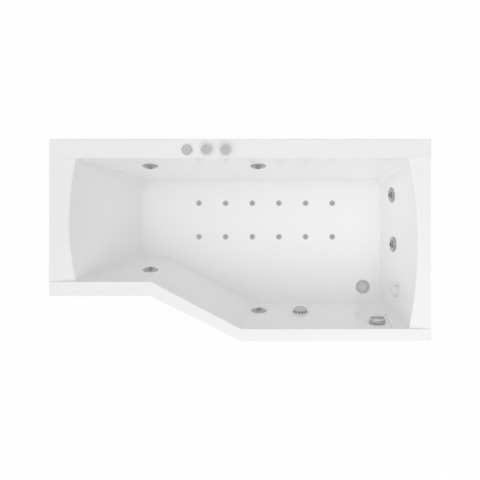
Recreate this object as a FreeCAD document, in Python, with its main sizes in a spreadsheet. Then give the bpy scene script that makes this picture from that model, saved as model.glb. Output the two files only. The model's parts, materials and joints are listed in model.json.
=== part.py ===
import FreeCAD, Part
import Sketcher
import math
import os
from FreeCAD import Placement, Rotation, Vector

# Driving sizes in millimetres. +X is the foot (drain) end, +Y the wall side, +Z up.
SIZES = {
    # outline and rim
    "bath_length": 1700.0,
    "bath_width": 900.0,
    "narrow_width": 700.0,
    "narrow_edge": 450.0,
    "wide_edge": 850.0,
    "floor_height": 170.0,
    "basin_depth": 430.0,
    "wall": 6.0,
    "lip_height": 40.0,
    "back_rim": 85.0,
    "narrow_rim": 64.0,
    "front_rim": 54.0,
    "head_rim": 77.0,
    "foot_rim": 53.0,
    "kink_shift": 4.0,
    "rim_corner": 8.0,
    "rim_edge": 4.0,
    "strip_edge": 2.0,
    # how far each wall leans in from rim to floor
    "back_draft": 74.0,
    "narrow_draft": 101.0,
    "diagonal_draft": 115.0,
    "front_draft": 98.0,
    "head_draft": 289.0,
    "foot_draft": 105.0,
    # plan radii of the two bowed ends
    "head_bow": 1257.0,
    "foot_bow": 1772.0,
    "foot_floor_bow": 9000.0,
    # end rims: drop at the outer edge, further fall to the opening, rolled edge
    "end_step": 6.0,
    "head_fall": 9.0,
    "foot_fall": 4.0,
    "roll": 12.0,
    "roll_bite": 0.5,
    "corner_top": 6.0,
    "corner_floor": 44.0,
    "floor_round": 28.0,
    "overcut": 40.0,
    "probe": 10.0,
    # overflow recess
    "recess_width": 144.0,
    "recess_height": 220.0,
    "recess_depth": 6.0,
    "recess_below_rim": 128.0,
    "recess_corner": 12.0,
    "recess_setback": 240.0,
    # wall jets
    "jet_back_head_setback": 437.0,
    "jet_back_foot_place": 83.0,
    "jet_back_below_rim": 140.0,
    "jet_narrow_before_kink": 18.0,
    "jet_narrow_below_rim": 196.0,
    "jet_front_past_kink": 48.5,
    "jet_front_above_floor": 165.0,
    "jet_foot_back_setback": 236.0,
    "jet_foot_front_setback": 470.0,
    "jet_foot_above_floor": 153.0,
    "seat_gap": 0.3,
    "jet_hole": 24.0,
    "jet_face": 37.0,
    "jet_face_edge": 2.0,
    "jet_crown": 29.0,
    "jet_crown_height": 7.0,
    "jet_mouth": 16.0,
    "jet_mouth_height": 4.0,
    "jet_dish": 20.0,
    "jet_sleeve": 21.0,
    "jet_sleeve_depth": 24.0,
    "jet_ball": 15.4,
    "jet_ball_centre": 1.0,
    "jet_ball_front": 48.0,
    "jet_ball_back": -40.0,
    "jet_spout": 6.0,
    "running_gap": 0.3,
    "jet_nose": 23.5,
    "jet_flange": 32.0,
    "jet_flange_thickness": 6.0,
    "jet_barrel": 26.0,
    "jet_pipe_depth": 46.0,
    "jet_back_depth": 69.0,
    "jet_air_rise": 42.0,
    "seal": 2.0,
    "seal_land": 6.0,
    # pipes
    "water_pipe": 16.0,
    "water_socket": 20.0,
    "water_socket_half": 38.0,
    "air_pipe": 8.0,
    "air_socket": 12.0,
    "air_socket_half": 18.0,
    "air_stem": 7.0,
    "pipe_wall": 2.5,
    "pipe_bend": 34.0,
    "pipe_tail": 44.0,
    "pipe_lead": 56.0,
    # floor air jets
    "floor_jet_first": -202.5,
    "floor_jet_pitch": 131.5,
    "floor_jet_back_setback": 268.5,
    "floor_jet_front_setback": 434.0,
    "floor_jet_cap": 13.5,
    "floor_jet_cap_height": 2.6,
    "floor_jet_cap_edge": 1.0,
    "floor_jet_dimple": 4.0,
    "floor_jet_dimple_depth": 1.2,
    "floor_jet_stem": 6.0,
    "floor_jet_stem_depth": 20.0,
    "floor_jet_hole": 7.5,
    "floor_jet_flange": 14.0,
    "floor_jet_flange_thickness": 5.0,
    "floor_jet_barrel": 10.0,
    "floor_pipe": 10.0,
    "floor_socket": 13.5,
    "floor_socket_half": 20.0,
    "floor_pipe_drop": 33.0,
    "floor_pipe_bend": 35.0,
    "floor_pipe_cross_setback": 290.0,
    "floor_pipe_land_setback": 404.0,
    "floor_pipe_turn": 76.0,
    "floor_pipe_end": 40.0,
    # deck controls
    "control_first": -236.0,
    "control_pitch": 85.5,
    "control_setback": 49.0,
    "control_hole": 16.5,
    "control_barrel": 16.0,
    "control_barrel_depth": 46.0,
    "control_nut": 23.0,
    "control_nut_height": 8.0,
    "bezel": 25.0,
    "bezel_height": 6.0,
    "bezel_edge": 2.0,
    "button": 14.0,
    "button_top": 9.5,
    "button_edge": 7.5,
    "button_crown": 11.0,
    "button_bottom": 3.0,
    "button_floor": 8.0,
    "button_stem": 5.0,
    "button_stem_depth": 14.0,
    "button_stem_room": 24.0,
    "valve_flange": 22.0,
    "valve_flange_height": 3.0,
    "valve_spindle": 6.0,
    "valve_spindle_top": 18.0,
    "valve_tail": 9.0,
    "knob": 24.5,
    "knob_grip": 22.5,
    "knob_top": 25.0,
    "knob_shoulder": 23.0,
    "knob_dish": 15.0,
    "knob_dish_depth": 2.0,
    "knob_notch_width": 3.0,
    "knob_notch_length": 8.0,
    # drain and trap
    "drain_setback": 244.0,
    "drain_from_front": 220.0,
    "drain_flange": 34.0,
    "drain_flange_height": 3.0,
    "drain_flange_edge": 1.0,
    "drain_hole": 27.0,
    "drain_tail": 26.0,
    "drain_tail_depth": 32.0,
    "drain_throat": 22.6,
    "drain_ledge": 17.0,
    "drain_ledge_depth": 8.0,
    "plug": 22.0,
    "plug_top": 4.0,
    "plug_edge": 2.5,
    "plug_depth": 7.7,
    "plug_stem": 4.0,
    "plug_stem_depth": 24.0,
    "trap_flange": 36.0,
    "trap_flange_thickness": 6.0,
    "trap_neck": 31.0,
    "trap_neck_bottom": 84.0,
    "trap_cup": 44.0,
    "trap_cup_bottom": 26.0,
    "trap_wall": 4.0,
    "waste_pipe": 20.0,
    "waste_socket": 25.0,
    "waste_level": 56.0,
    "waste_reach": 96.0,
    "waste_seat": 30.0,
    "waste_nut": 31.0,
    "waste_nut_length": 22.0,
    "overflow_level": 112.0,
    "overflow_inlet_reach": 82.0,
    # overflow
    "overflow_setback": 223.0,
    "overflow_below_rim": 112.0,
    "overflow_hole": 27.0,
    "overflow_nose": 26.0,
    "overflow_flange": 34.0,
    "overflow_back_depth": 50.0,
    "overflow_pipe_depth": 28.0,
    "overflow_web": 4.0,
    "overflow_spindle": 5.0,
    "overflow_spindle_top": 14.0,
    "overflow_knob": 38.0,
    "overflow_knob_back": 4.0,
    "overflow_knob_edge": 17.0,
    "overflow_knob_top": 23.0,
    "overflow_knob_dome": 30.0,
    "overflow_grip_width": 9.0,
    "overflow_grip_height": 3.0,
    "overflow_socket": 24.0,
    "overflow_socket_length": 56.0,
    "overflow_pipe_start": 34.0,
    # suction fitting
    "suction_past_kink": 284.0,
    "suction_above_floor": 185.0,
    "suction_hole": 25.0,
    "suction_nose": 24.5,
    "suction_cover": 34.5,
    "suction_cover_edge": 15.0,
    "suction_cover_top": 22.0,
    "suction_cover_flat": 25.0,
    "suction_cover_wall": 3.0,
    "suction_slot_width": 5.0,
    "suction_slot_low": 5.0,
    "suction_slot_height": 8.0,
    "suction_sleeve": 21.0,
    "suction_sleeve_depth": 18.0,
    "suction_barrel": 30.0,
    "suction_back_depth": 70.0,
    "suction_pipe_depth": 38.0,
    "suction_pipe": 25.0,
    "suction_socket": 29.0,
    "suction_socket_length": 62.0,
    "suction_pipe_start": 40.0,
    "suction_pipe_level": 205.0,
    "suction_bend": 70.0,
    # underwater lamp
    "lamp_from_front": 212.0,
    "lamp_above_floor": 214.0,
    "lamp_hole": 21.0,
    "lamp_bezel": 30.0,
    "lamp_bezel_mouth": 25.0,
    "lamp_bezel_height": 9.0,
    "lamp_bezel_edge": 5.0,
    "lamp_ledge": 19.0,
    "lamp_ledge_height": 4.0,
    "lamp_lens": 24.5,
    "lamp_lens_wall": 3.0,
    "lamp_nose": 20.5,
    "lamp_flange": 30.0,
    "lamp_flange_thickness": 5.0,
    "lamp_can": 25.0,
    "lamp_back_depth": 44.0,
    # frame and feet
    "board": 18.0,
    "board_inset": 34.0,
    "board_head_inset": 62.0,
    "board_drain_hole": 62.0,
    "board_jet_hole": 17.0,
    "tube": 30.0,
    "tube_wall": 2.0,
    "rail_back_setback": 204.0,
    "rail_head_setback": 50.0,
    "cross_head_setback": 425.0,
    "cross_middle_past_kink": 129.0,
    "cross_foot_setback": 150.0,
    "post_width": 30.0,
    "post_thickness": 14.0,
    "post_gap": 1.0,
    "foot_pad": 28.0,
    "foot_pad_height": 12.0,
    "foot_pad_shoulder": 20.0,
    "foot_pad_crown": 18.0,
    "foot_stem": 6.0,
    "foot_stem_bite": 14.0,
    "foot_setback": 45.0,
    "foot_nut": 11.0,
    "foot_nut_height": 9.0,
    # pump, blower and plate
    "plate": 4.0,
    "plate_head_gap": 40.0,
    "plate_length": 170.0,
    "plate_setback": 25.0,
    "plate_width": 510.0,
    "pump_setback": 125.0,
    "pump_front_setback": 470.0,
    "pump_rise": 80.0,
    "volute": 70.0,
    "volute_length": 60.0,
    "volute_wall": 6.0,
    "pump_socket": 30.0,
    "pump_socket_length": 28.0,
    "pump_eye": 20.0,
    "riser": 18.0,
    "riser_pipe": 14.0,
    "riser_socket_length": 18.0,
    "shaft_hole": 9.0,
    "motor": 54.0,
    "motor_length": 190.0,
    "motor_wall": 6.0,
    "motor_end_edge": 8.0,
    "fin_height": 5.0,
    "fin_width": 3.0,
    "fin_start": 24.0,
    "fin_length": 130.0,
    "impeller": 56.0,
    "impeller_start": 18.0,
    "impeller_thickness": 26.0,
    "shaft": 8.6,
    "armature": 38.0,
    "armature_start": 100.0,
    "armature_length": 90.0,
    "pump_shaft_end": 225.0,
    "cradle_width": 90.0,
    "cradle_length": 150.0,
    "cradle_start": 80.0,
    "blower_setback": 105.0,
    "blower": 66.0,
    "blower_height": 92.0,
    "blower_wall": 5.0,
    "blower_flange": 74.0,
    "blower_inlet": 26.0,
    "blower_outlet_level": 18.0,
    "blower_outlet_reach": 92.0,
    "blower_outlet_seat": 24.0,
    "blower_post": 9.0,
    "blower_post_height": 62.0,
    "fan": 54.0,
    "fan_bottom": 16.0,
    "fan_height": 52.0,
    "fan_rim": 6.0,
    "fan_bore": 9.4,
    "fan_hub": 16.0,
    # control box
    "box_length": 150.0,
    "box_depth": 70.0,
    "box_height": 110.0,
    "box_wall": 4.0,
    "box_level": 190.0,
    "box_shift": -20.0,
    "box_lid": 6.0,
    "gland_hole": 6.0,
    "gland_nut": 12.0,
    "gland_nut_height": 14.0,
    "gland_thread": 9.0,
    "gland_shift": -58.0,
}
DECK_CONTROLS = 3
FLOOR_JET_COLUMNS = 6
SUCTION_SLOTS = 14
MOTOR_FINS = 22
HALF_SHARE = 0.5
RAIL_SHARE = 0.36
UP = Vector(0, 0, 1)
ALONG = Vector(1, 0, 0)
ACROSS = Vector(0, 1, 0)
FULL_TURN = 360.0
NEAR = 0.01

document = FreeCAD.newDocument("AsymmetricBath")
sheet = document.addObject("Spreadsheet::Sheet", "Sizes")
for row, (alias, number) in enumerate(SIZES.items(), start=1):
    sheet.set(f"A{row}", alias.replace("_", " "))
    sheet.set(f"B{row}", str(number))
    sheet.setAlias(f"B{row}", alias)
document.recompute()


class Dim:
    """A length that knows both its value and the sheet expression behind it."""

    def __init__(self, value, text):
        self.value = float(value)
        self.text = text

    def __add__(self, other):
        return Dim(self.value + other.value, f"({self.text} + {other.text})")

    def __sub__(self, other):
        return Dim(self.value - other.value, f"({self.text} - {other.text})")

    def __mul__(self, share):
        return Dim(self.value * share, f"({self.text} * {share})")

    def __neg__(self):
        return Dim(-self.value, f"(-{self.text})")


def measured(number):
    """A length read off the shape instead of the sheet."""
    return Dim(number, f"{number}")


class SizeBook:
    """Reads a size from the sheet by its alias."""

    def __getattr__(self, alias):
        return Dim(sheet.get(alias), f"Sizes.{alias}")


size = SizeBook()
ZERO = Dim(0, "0")


def bind(item, **dims):
    for name, dim in dims.items():
        item.setExpression(name, dim.text)


def origin_plane(body, role):
    return next(item for item in body.Origin.OriginFeatures if item.Role == role)


def sketch_on(body, name, role):
    sketch = body.newObject("Sketcher::SketchObject", name)
    sketch.AttachmentSupport = (origin_plane(body, role), [""])
    sketch.MapMode = "FlatFace"
    return sketch


def draw_polygon(sketch, points):
    """Closed outline whose every corner is tied to the sheet."""
    first = sketch.GeometryCount
    count = len(points)
    for index, (x, y) in enumerate(points):
        to_x, to_y = points[(index + 1) % count]
        start = Vector(x.value, y.value, 0)
        end = Vector(to_x.value, to_y.value, 0)
        sketch.addGeometry(Part.LineSegment(start, end), False)
    for index in range(count):
        following = first + (index + 1) % count
        sketch.addConstraint(Sketcher.Constraint("Coincident", first + index, 2, following, 1))
    for index, (x, y) in enumerate(points):
        for kind, dim, axis in (("DistanceX", x, -2), ("DistanceY", y, -1)):
            if dim is ZERO:
                sketch.addConstraint(Sketcher.Constraint("PointOnObject", first + index, 1, axis))
                continue
            rule = sketch.addConstraint(Sketcher.Constraint(kind, -1, 1, first + index, 1, dim.value))
            sketch.setExpression(f"Constraints[{rule}]", dim.text)


def turned(name, profile):
    """Body of revolution about its own Z axis from (radius, height) corners."""
    body = document.addObject("PartDesign::Body", name)
    sketch = sketch_on(body, f"{name}_profile", "XZ_Plane")
    draw_polygon(sketch, profile)
    turn = body.newObject("PartDesign::Revolution", f"{name}_turn")
    turn.Profile = sketch
    turn.ReferenceAxis = (sketch, ["V_Axis"])
    turn.Angle = FULL_TURN
    return body


def padded_outline(name, points, height):
    """Body with one straight-sided outline on XY, padded upwards."""
    body = document.addObject("PartDesign::Body", name)
    sketch = sketch_on(body, f"{name}_outline", "XY_Plane")
    draw_polygon(sketch, points)
    pad = body.newObject("PartDesign::Pad", f"{name}_pad")
    pad.Profile = sketch
    bind(pad, Length=height)
    return body


def placed(item, x=ZERO, y=ZERO, z=ZERO, axis=UP):
    item.Placement = Placement(Vector(x.value, y.value, z.value), Rotation(UP, axis))
    for name, dim in (("x", x), ("y", y), ("z", z)):
        item.setExpression(f"Placement.Base.{name}", dim.text)
    return item


def cylinder(name, radius, height, **where):
    item = document.addObject("Part::Cylinder", name)
    bind(item, Radius=radius, Height=height)
    return placed(item, **where)


def block(name, length, width, height, **where):
    item = document.addObject("Part::Box", name)
    bind(item, Length=length, Width=width, Height=height)
    return placed(item, **where)


def fuse(name, *parts):
    item = document.addObject("Part::MultiFuse", name)
    item.Shapes = list(parts)
    return item


def common(name, *parts):
    item = document.addObject("Part::MultiCommon", name)
    item.Shapes = list(parts)
    return item


def cut(name, base, *tools):
    item = document.addObject("Part::Cut", name)
    item.Base = base
    item.Tool = tools[0] if len(tools) == 1 else fuse(f"{name}_tools", *tools)
    return item


def solid_feature(name, shape):
    item = document.addObject("Part::Feature", name)
    item.Shape = shape
    return item


def filleted(name, base, wanted):
    """Rounds the edges of base that wanted() gives a radius, or a start and end radius, for."""
    document.recompute()
    edges = []
    for index, edge in enumerate(base.Shape.Edges, start=1):
        radii = wanted(edge)
        if radii:
            edges.append((index, radii[0], radii[-1]))
    item = document.addObject("Part::Fillet", name)
    item.Base = base
    item.Edges = edges
    return item


def rounded_turn(body, name, radius, wanted):
    """Fillets the round edges of a turned body that wanted(radius, height) picks."""
    document.recompute()
    base = body.Tip
    picks = []
    for index, edge in enumerate(base.Shape.Edges, start=1):
        if isinstance(edge.Curve, Part.Circle) and wanted(edge.Curve.Radius, edge.Curve.Center.z):
            picks.append(f"Edge{index}")
    item = body.newObject("PartDesign::Fillet", name)
    item.Base = (base, picks)
    bind(item, Radius=radius)
    body.Tip = item


nodes = []


def node(label, source, place=None):
    """Named piece of the bath: a placed copy of a pattern's shape, or the pattern itself."""
    if place is None:
        item = source
    else:
        item = document.addObject("Part::Feature", label)
        item.Shape = source.Shape
        item.Placement = place
    item.Label = label
    nodes.append(item)
    return item


def group(label, source, places):
    """Several like pieces that share one named node."""
    copies = []
    for place in places:
        copy = source.Shape.copy()
        copy.Placement = place.multiply(copy.Placement)
        copies.append(copy)
    item = solid_feature(label, Part.makeCompound(copies))
    nodes.append(item)
    return item


def gathered(label, items):
    """Several pieces of different sizes that share one named node."""
    document.recompute()
    item = solid_feature(label, Part.makeCompound([each.Shape.copy() for each in items]))
    nodes.append(item)
    return item


# Places that several pieces share.
half_length = size.bath_length * HALF_SHARE
half_width = size.bath_width * HALF_SHARE
narrow_y = half_width - size.narrow_width
floor_top = size.floor_height
rim_top = floor_top + size.basin_depth
floor_under = floor_top - size.wall
board_under = floor_under - size.board
rail_under = board_under - size.tube
cross_under = rail_under - size.tube
head_x = -half_length
foot_x = half_length
head_kink_x = head_x + size.narrow_edge
foot_kink_x = foot_x - size.wide_edge


# The shell: a trough of flat walls, closed by two bowed end walls.
class Wall:
    """A flat basin wall: its plan line at the rim, its inward side and how far it leans in."""

    def __init__(self, start, end, draft):
        self.start = start
        self.along = (end - start).normalize()
        self.inward = Vector(self.along.y, -self.along.x, 0)
        self.draft = draft.value
        self.lean = math.atan2(self.draft, size.basin_depth.value)

    def line(self, below_rim, offset):
        shift = self.draft * below_rim / size.basin_depth.value - offset / math.cos(self.lean)
        return self.start + self.inward * shift, self.along


def crossing(first, second):
    (point, along), (other, other_along) = first, second
    spread = along.x * other_along.y - along.y * other_along.x
    gap = other - point
    return point + along * ((gap.x * other_along.y - gap.y * other_along.x) / spread)


far = size.bath_length.value
back_inner = (half_width - size.back_rim).value
narrow_inner = (narrow_y + size.narrow_rim).value
front_inner = (-half_width + size.front_rim).value
kink_head = Vector((head_kink_x + size.kink_shift).value, narrow_inner, 0)
kink_foot = Vector((foot_kink_x + size.kink_shift).value, front_inner, 0)
WALLS = {
    "back": Wall(Vector(-far, back_inner, 0), Vector(far, back_inner, 0), size.back_draft),
    "foot end": Wall(Vector(far, back_inner, 0), Vector(far, front_inner, 0), ZERO),
    "front": Wall(Vector(far, front_inner, 0), kink_foot, size.front_draft),
    "diagonal": Wall(kink_foot, kink_head, size.diagonal_draft),
    "narrow": Wall(kink_head, Vector(-far, narrow_inner, 0), size.narrow_draft),
    "head end": Wall(Vector(-far, narrow_inner, 0), Vector(-far, back_inner, 0), ZERO),
}
head_middle = (back_inner + narrow_inner) * HALF_SHARE
foot_middle = (back_inner + front_inner) * HALF_SHARE
HEAD_CENTRE = Vector((head_x + size.head_rim + size.head_bow).value, head_middle, 0)
FOOT_CENTRE = Vector((foot_x - size.foot_rim - size.foot_bow).value, foot_middle, 0)


def ring_points(walls, below_rim, offset):
    lines = [wall.line(below_rim, offset) for wall in walls]
    corners = [crossing(lines[index - 1], lines[index]) for index in range(len(lines))]
    level = Vector(0, 0, rim_top.value - below_rim)
    return [corner + level for corner in corners]


def flat_face(points):
    return Part.Face(Part.makePolygon(points + [points[0]]))


def trough(offset):
    top = ring_points(WALLS.values(), -size.overcut.value, offset)
    bottom = ring_points(WALLS.values(), size.basin_depth.value + offset, offset)
    faces = [flat_face(top), flat_face(bottom)]
    for index in range(len(top)):
        faces.append(flat_face([bottom[index - 1], bottom[index], top[index], top[index - 1]]))
    return Part.makeSolid(Part.makeShell(faces))


def slanted_run(draft, offset):
    """How far a leaning wall moves sideways when its skin is moved out by offset."""
    return offset / math.cos(math.atan2(draft.value, size.basin_depth.value))


def spun(points, centre):
    """Full turn of a closed (radius, height) outline about a vertical line."""
    edges = Part.makePolygon([Vector(radius, 0, height) for radius, height in points + [points[0]]])
    solid = Part.Face(Part.Wire(edges)).revolve(Vector(0, 0, 0), UP, FULL_TURN)
    solid.translate(centre)
    return solid


def head_bowl(offset):
    depth = size.basin_depth.value
    run = slanted_run(size.head_draft, offset)
    steep = size.head_draft.value / depth
    low = depth + offset
    high = -size.overcut.value
    outer = [(size.head_bow.value - steep * below + run, rim_top.value - below) for below in (low, high)]
    inner = [(0, rim_top.value - high), (0, rim_top.value - low)]
    return spun(outer + inner, HEAD_CENTRE)


def foot_arc(radius, middle_x, level):
    reach = half_width.value
    centre_y = FOOT_CENTRE.y
    sag = radius - math.sqrt(radius * radius - reach * reach)
    low = Vector(middle_x - sag, centre_y - reach, level)
    high = Vector(middle_x - sag, centre_y + reach, level)
    arc = Part.Arc(low, Vector(middle_x, centre_y, level), high).toShape()
    far_low = Vector(-far, low.y, level)
    far_high = Vector(-far, high.y, level)
    sides = [Part.makeLine(high, far_high), Part.makeLine(far_high, far_low), Part.makeLine(far_low, low)]
    return Part.Wire([arc] + sides)


def foot_limit(offset):
    depth = size.basin_depth.value
    run = slanted_run(size.foot_draft, offset)
    rim_x = (foot_x - size.foot_rim).value + run
    low = depth + offset
    floor_x = rim_x - size.foot_draft.value * low / depth
    rim = foot_arc(size.foot_bow.value + run, rim_x, rim_top.value)
    floor = foot_arc(size.foot_floor_bow.value, floor_x, rim_top.value - low)
    wall = Part.makeLoft([floor, rim], True, True)
    above = Part.Face(rim).extrude(UP * size.overcut.value)
    return wall.fuse(above).removeSplitter()


def end_dish(bow, rim, draft, drop, centre, offset):
    """Space above a sloped end rim and its rolled edge, spun about the end's plan centre."""
    depth = size.basin_depth.value
    steep = draft.value / depth
    wall_lean = math.atan(steep)
    fall = math.atan2(drop.value, rim.value)
    run = slanted_run(draft, offset)
    outer_level = rim_top.value - size.end_step.value - offset / math.cos(fall)
    outer_radius = bow.value + rim.value
    slope = math.tan(fall)
    # the rolled edge starts a little inside the wall, so that it crosses it cleanly
    wall_foot = bow.value + run - size.roll_bite.value - steep * rim_top.value
    # the corner where wall and sloped rim would meet, if the edge were not rolled
    meet_radius = (wall_foot + steep * (outer_level - slope * outer_radius)) / (1 - steep * slope)
    meet_level = outer_level + slope * (meet_radius - outer_radius)
    turn = math.pi * HALF_SHARE - wall_lean - fall
    radius = size.roll.value - offset
    reach = radius * math.tan(turn * HALF_SHARE)
    up_wall = Vector(math.sin(wall_lean), 0, math.cos(wall_lean))
    along_rim = Vector(math.cos(fall), 0, math.sin(fall))
    meet = Vector(meet_radius, 0, meet_level)
    below = meet - up_wall * reach
    beyond = meet + along_rim * reach
    middle_way = (along_rim - up_wall).normalize()
    apex = radius / math.cos(turn * HALF_SHARE)
    crown = meet + middle_way * (apex - radius)
    end = Vector(outer_radius + far, 0, outer_level + slope * far)
    top = end.z + size.overcut.value
    inside = below.x - size.overcut.value
    edges = [
        Part.Arc(below, crown, beyond).toShape(),
        Part.makeLine(beyond, end),
        Part.makeLine(end, Vector(end.x, 0, top)),
        Part.makeLine(Vector(end.x, 0, top), Vector(inside, 0, top)),
        Part.makeLine(Vector(inside, 0, top), Vector(inside, 0, below.z)),
        Part.makeLine(Vector(inside, 0, below.z), below),
    ]
    solid = Part.Face(Part.Wire(edges)).revolve(Vector(0, 0, 0), UP, FULL_TURN)
    solid.translate(centre)
    return solid


def wall_edge(edge):
    """True for the corner edges that run up the basin from floor to rim."""
    return edge.BoundBox.ZLength > size.basin_depth.value - NEAR


def level_edge(edge, level):
    return abs(edge.BoundBox.ZMin - level) < NEAR and abs(edge.BoundBox.ZMax - level) < NEAR


def basin_core(name, offset):
    """Space of the basin and above its two end rims, its skin moved out by offset."""
    flat_walls = solid_feature(f"{name}_trough", trough(offset))
    head = solid_feature(f"{name}_head", head_bowl(offset))
    foot = solid_feature(f"{name}_foot", foot_limit(offset))
    raw = common(f"{name}_raw", flat_walls, head, foot)
    floor_level = floor_top.value - offset
    half_depth = (size.basin_depth * HALF_SHARE).value
    kink = crossing(WALLS["diagonal"].line(half_depth, offset), WALLS["narrow"].line(half_depth, offset))

    def corner_radii(edge):
        if not wall_edge(edge):
            return None
        spot = Vector(edge.CenterOfMass.x, edge.CenterOfMass.y, 0)
        bulges = (spot - kink).Length < size.corner_floor.value
        change = -offset if bulges else offset
        top_radius = size.corner_top.value + change
        floor_radius = size.corner_floor.value + change
        top_radius = max(top_radius, size.rim_edge.value)
        rising = edge.valueAt(edge.FirstParameter).z < edge.valueAt(edge.LastParameter).z
        return (floor_radius, top_radius) if rising else (top_radius, floor_radius)

    cornered = filleted(f"{name}_corners", raw, corner_radii)

    def floor_radius(edge):
        return (size.floor_round.value,) if level_edge(edge, floor_level) else None

    rounded = filleted(f"{name}_floor", cornered, floor_radius)
    head_dish = end_dish(size.head_bow, size.head_rim, size.head_draft, size.head_fall, HEAD_CENTRE, offset)
    foot_dish = end_dish(size.foot_bow, size.foot_rim, size.foot_draft, size.foot_fall, FOOT_CENTRE, offset)
    halves = Part.makeBox(far, far, far, Vector(-far, -far * HALF_SHARE, 0))
    head_dish = head_dish.common(halves)
    halves.translate(ALONG * far)
    foot_dish = foot_dish.common(halves)
    head_part = common(f"{name}_head_rim", solid_feature(f"{name}_head_dish", head_dish), flat_walls)
    foot_part = common(f"{name}_foot_rim", solid_feature(f"{name}_foot_dish", foot_dish), flat_walls)
    return [rounded, head_part, foot_part]


inner_core = basin_core("inner", 0.0)
outer_core = basin_core("outer", size.wall.value)
outline = [
    Vector(head_x.value, half_width.value, 0),
    Vector(foot_x.value, half_width.value, 0),
    Vector(foot_x.value, -half_width.value, 0),
    Vector(foot_kink_x.value, -half_width.value, 0),
    Vector(head_kink_x.value, narrow_y.value, 0),
    Vector(head_x.value, narrow_y.value, 0),
]
OUTLINE_SIDES = [
    Wall(point, outline[(index + 1) % len(outline)], ZERO) for index, point in enumerate(outline)
]


def outline_prism(name, inset, low, high):
    ring = ring_points(OUTLINE_SIDES, (rim_top - low).value, -inset.value)
    return solid_feature(name, flat_face(ring).extrude(UP * (high - low).value))


def rim_corner(edge):
    return (size.rim_corner.value,) if edge.BoundBox.ZLength > size.basin_depth.value else None


def rim_edge(edge):
    return (size.rim_edge.value,) if level_edge(edge, rim_top.value) else None


tall = outline_prism("rim_prism", ZERO, ZERO, rim_top)
tall = filleted("rim_prism_corners", tall, rim_corner)
tall = filleted("rim_prism_edge", tall, rim_edge)
below_lip = outline_prism("below_lip", -size.overcut, ZERO, rim_top - size.lip_height)
rim_hollow = outline_prism("rim_hollow", size.wall, ZERO, rim_top - size.wall)
collar = cut("rim_collar", tall, below_lip, rim_hollow)
skins = [common(f"{space.Name}_skin", tall, space) for space in outer_core]


def frame(point, along, up, inward):
    return Placement(point, Rotation(along, up, inward, "ZXY"))


def seat(wall_name, place, below_rim):
    """Frame on a flat wall: x along it, y up it, z into the basin."""
    wall = WALLS[wall_name]
    point, along = wall.line(below_rim.value, 0)
    point = point + along * ((place.value - point.x) / along.x)
    point.z = (rim_top - below_rim).value
    inward = wall.inward * math.cos(wall.lean) + UP * math.sin(wall.lean)
    up = UP * math.cos(wall.lean) - wall.inward * math.sin(wall.lean)
    return frame(point, along, up, inward)


def foot_seat(place, below_rim):
    """Frame on the bowed foot wall, found by probing the basin."""
    level = (rim_top - below_rim).value
    probe = size.probe.value

    def wall_point(y, z):
        ray = Part.makeLine(Vector(0, y, z), Vector(far, y, z)).common(inner_core[0].Shape)
        return max((vertex.Point for vertex in ray.Vertexes), key=lambda point: point.x)

    along = wall_point(place.value - probe, level) - wall_point(place.value + probe, level)
    up = wall_point(place.value, level + probe) - wall_point(place.value, level - probe)
    along.normalize()
    inward = along.cross(up).normalize()
    return frame(wall_point(place.value, level), along, inward.cross(along), inward)


def level_seat(x, y, z):
    return Placement(Vector(x.value, y.value, z.value), Rotation())


def shifted(place, x=0.0, y=0.0, z=0.0):
    return place.multiply(Placement(Vector(x, y, z), Rotation()))


document.recompute()
foot_jet_depth = size.basin_depth - size.jet_foot_above_floor
front_jet_depth = size.basin_depth - size.jet_front_above_floor
front_line = WALLS["front"].line(front_jet_depth.value, 0)
front_kink = crossing(WALLS["diagonal"].line(front_jet_depth.value, 0), front_line)
jet_seats = [
    seat("back", head_x + size.jet_back_head_setback, size.jet_back_below_rim),
    seat("back", size.jet_back_foot_place, size.jet_back_below_rim),
    seat("narrow", head_kink_x - size.jet_narrow_before_kink, size.jet_narrow_below_rim),
    seat("front", measured(front_kink.x) + size.jet_front_past_kink, front_jet_depth),
    foot_seat(half_width - size.jet_foot_back_setback, foot_jet_depth),
    foot_seat(half_width - size.jet_foot_front_setback, foot_jet_depth),
]
suction_seat = seat("front", foot_kink_x + size.suction_past_kink, size.basin_depth - size.suction_above_floor)
recess_seat = seat("front", foot_x - size.recess_setback, size.recess_below_rim)
overflow_seat = seat("front", foot_x - size.overflow_setback, size.overflow_below_rim)
overflow_seat = shifted(overflow_seat, z=-size.recess_depth.value)
lamp_seat = foot_seat(-half_width + size.lamp_from_front, size.basin_depth - size.lamp_above_floor)
control_y = half_width - size.control_setback
control_seats = [
    level_seat(size.control_first + size.control_pitch * step, control_y, rim_top)
    for step in range(DECK_CONTROLS)
]
jet_row_back = half_width - size.floor_jet_back_setback
jet_row_front = half_width - size.floor_jet_front_setback
floor_jet_seats = [
    level_seat(size.floor_jet_first + size.floor_jet_pitch * column, row, floor_top)
    for row in (jet_row_back, jet_row_front)
    for column in range(FLOOR_JET_COLUMNS)
]
drain_x = foot_x - size.drain_setback
drain_y = -half_width + size.drain_from_front
drain_seat = level_seat(drain_x, drain_y, floor_top)


# Shell: recess panel for the overflow, then every fitting hole.
def recess_panel(name, grow, front):
    width = size.recess_width + grow * 2
    height = size.recess_height + grow * 2
    depth = size.recess_depth + grow + front
    panel = block(f"{name}_block", width, height, depth)
    radius = (size.recess_corner + grow).value
    document.recompute()

    def corner(edge):
        return (radius,) if abs(edge.BoundBox.ZLength - depth.value) < NEAR else None

    panel = filleted(name, panel, corner)
    document.recompute()
    half_way = Vector(width.value, height.value, 0) * HALF_SHARE
    place = shifted(recess_seat, -half_way.x, -half_way.y, (front - depth).value)
    shape = panel.Shape.copy()
    shape.Placement = place
    return solid_feature(f"{name}_placed", shape)


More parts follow.
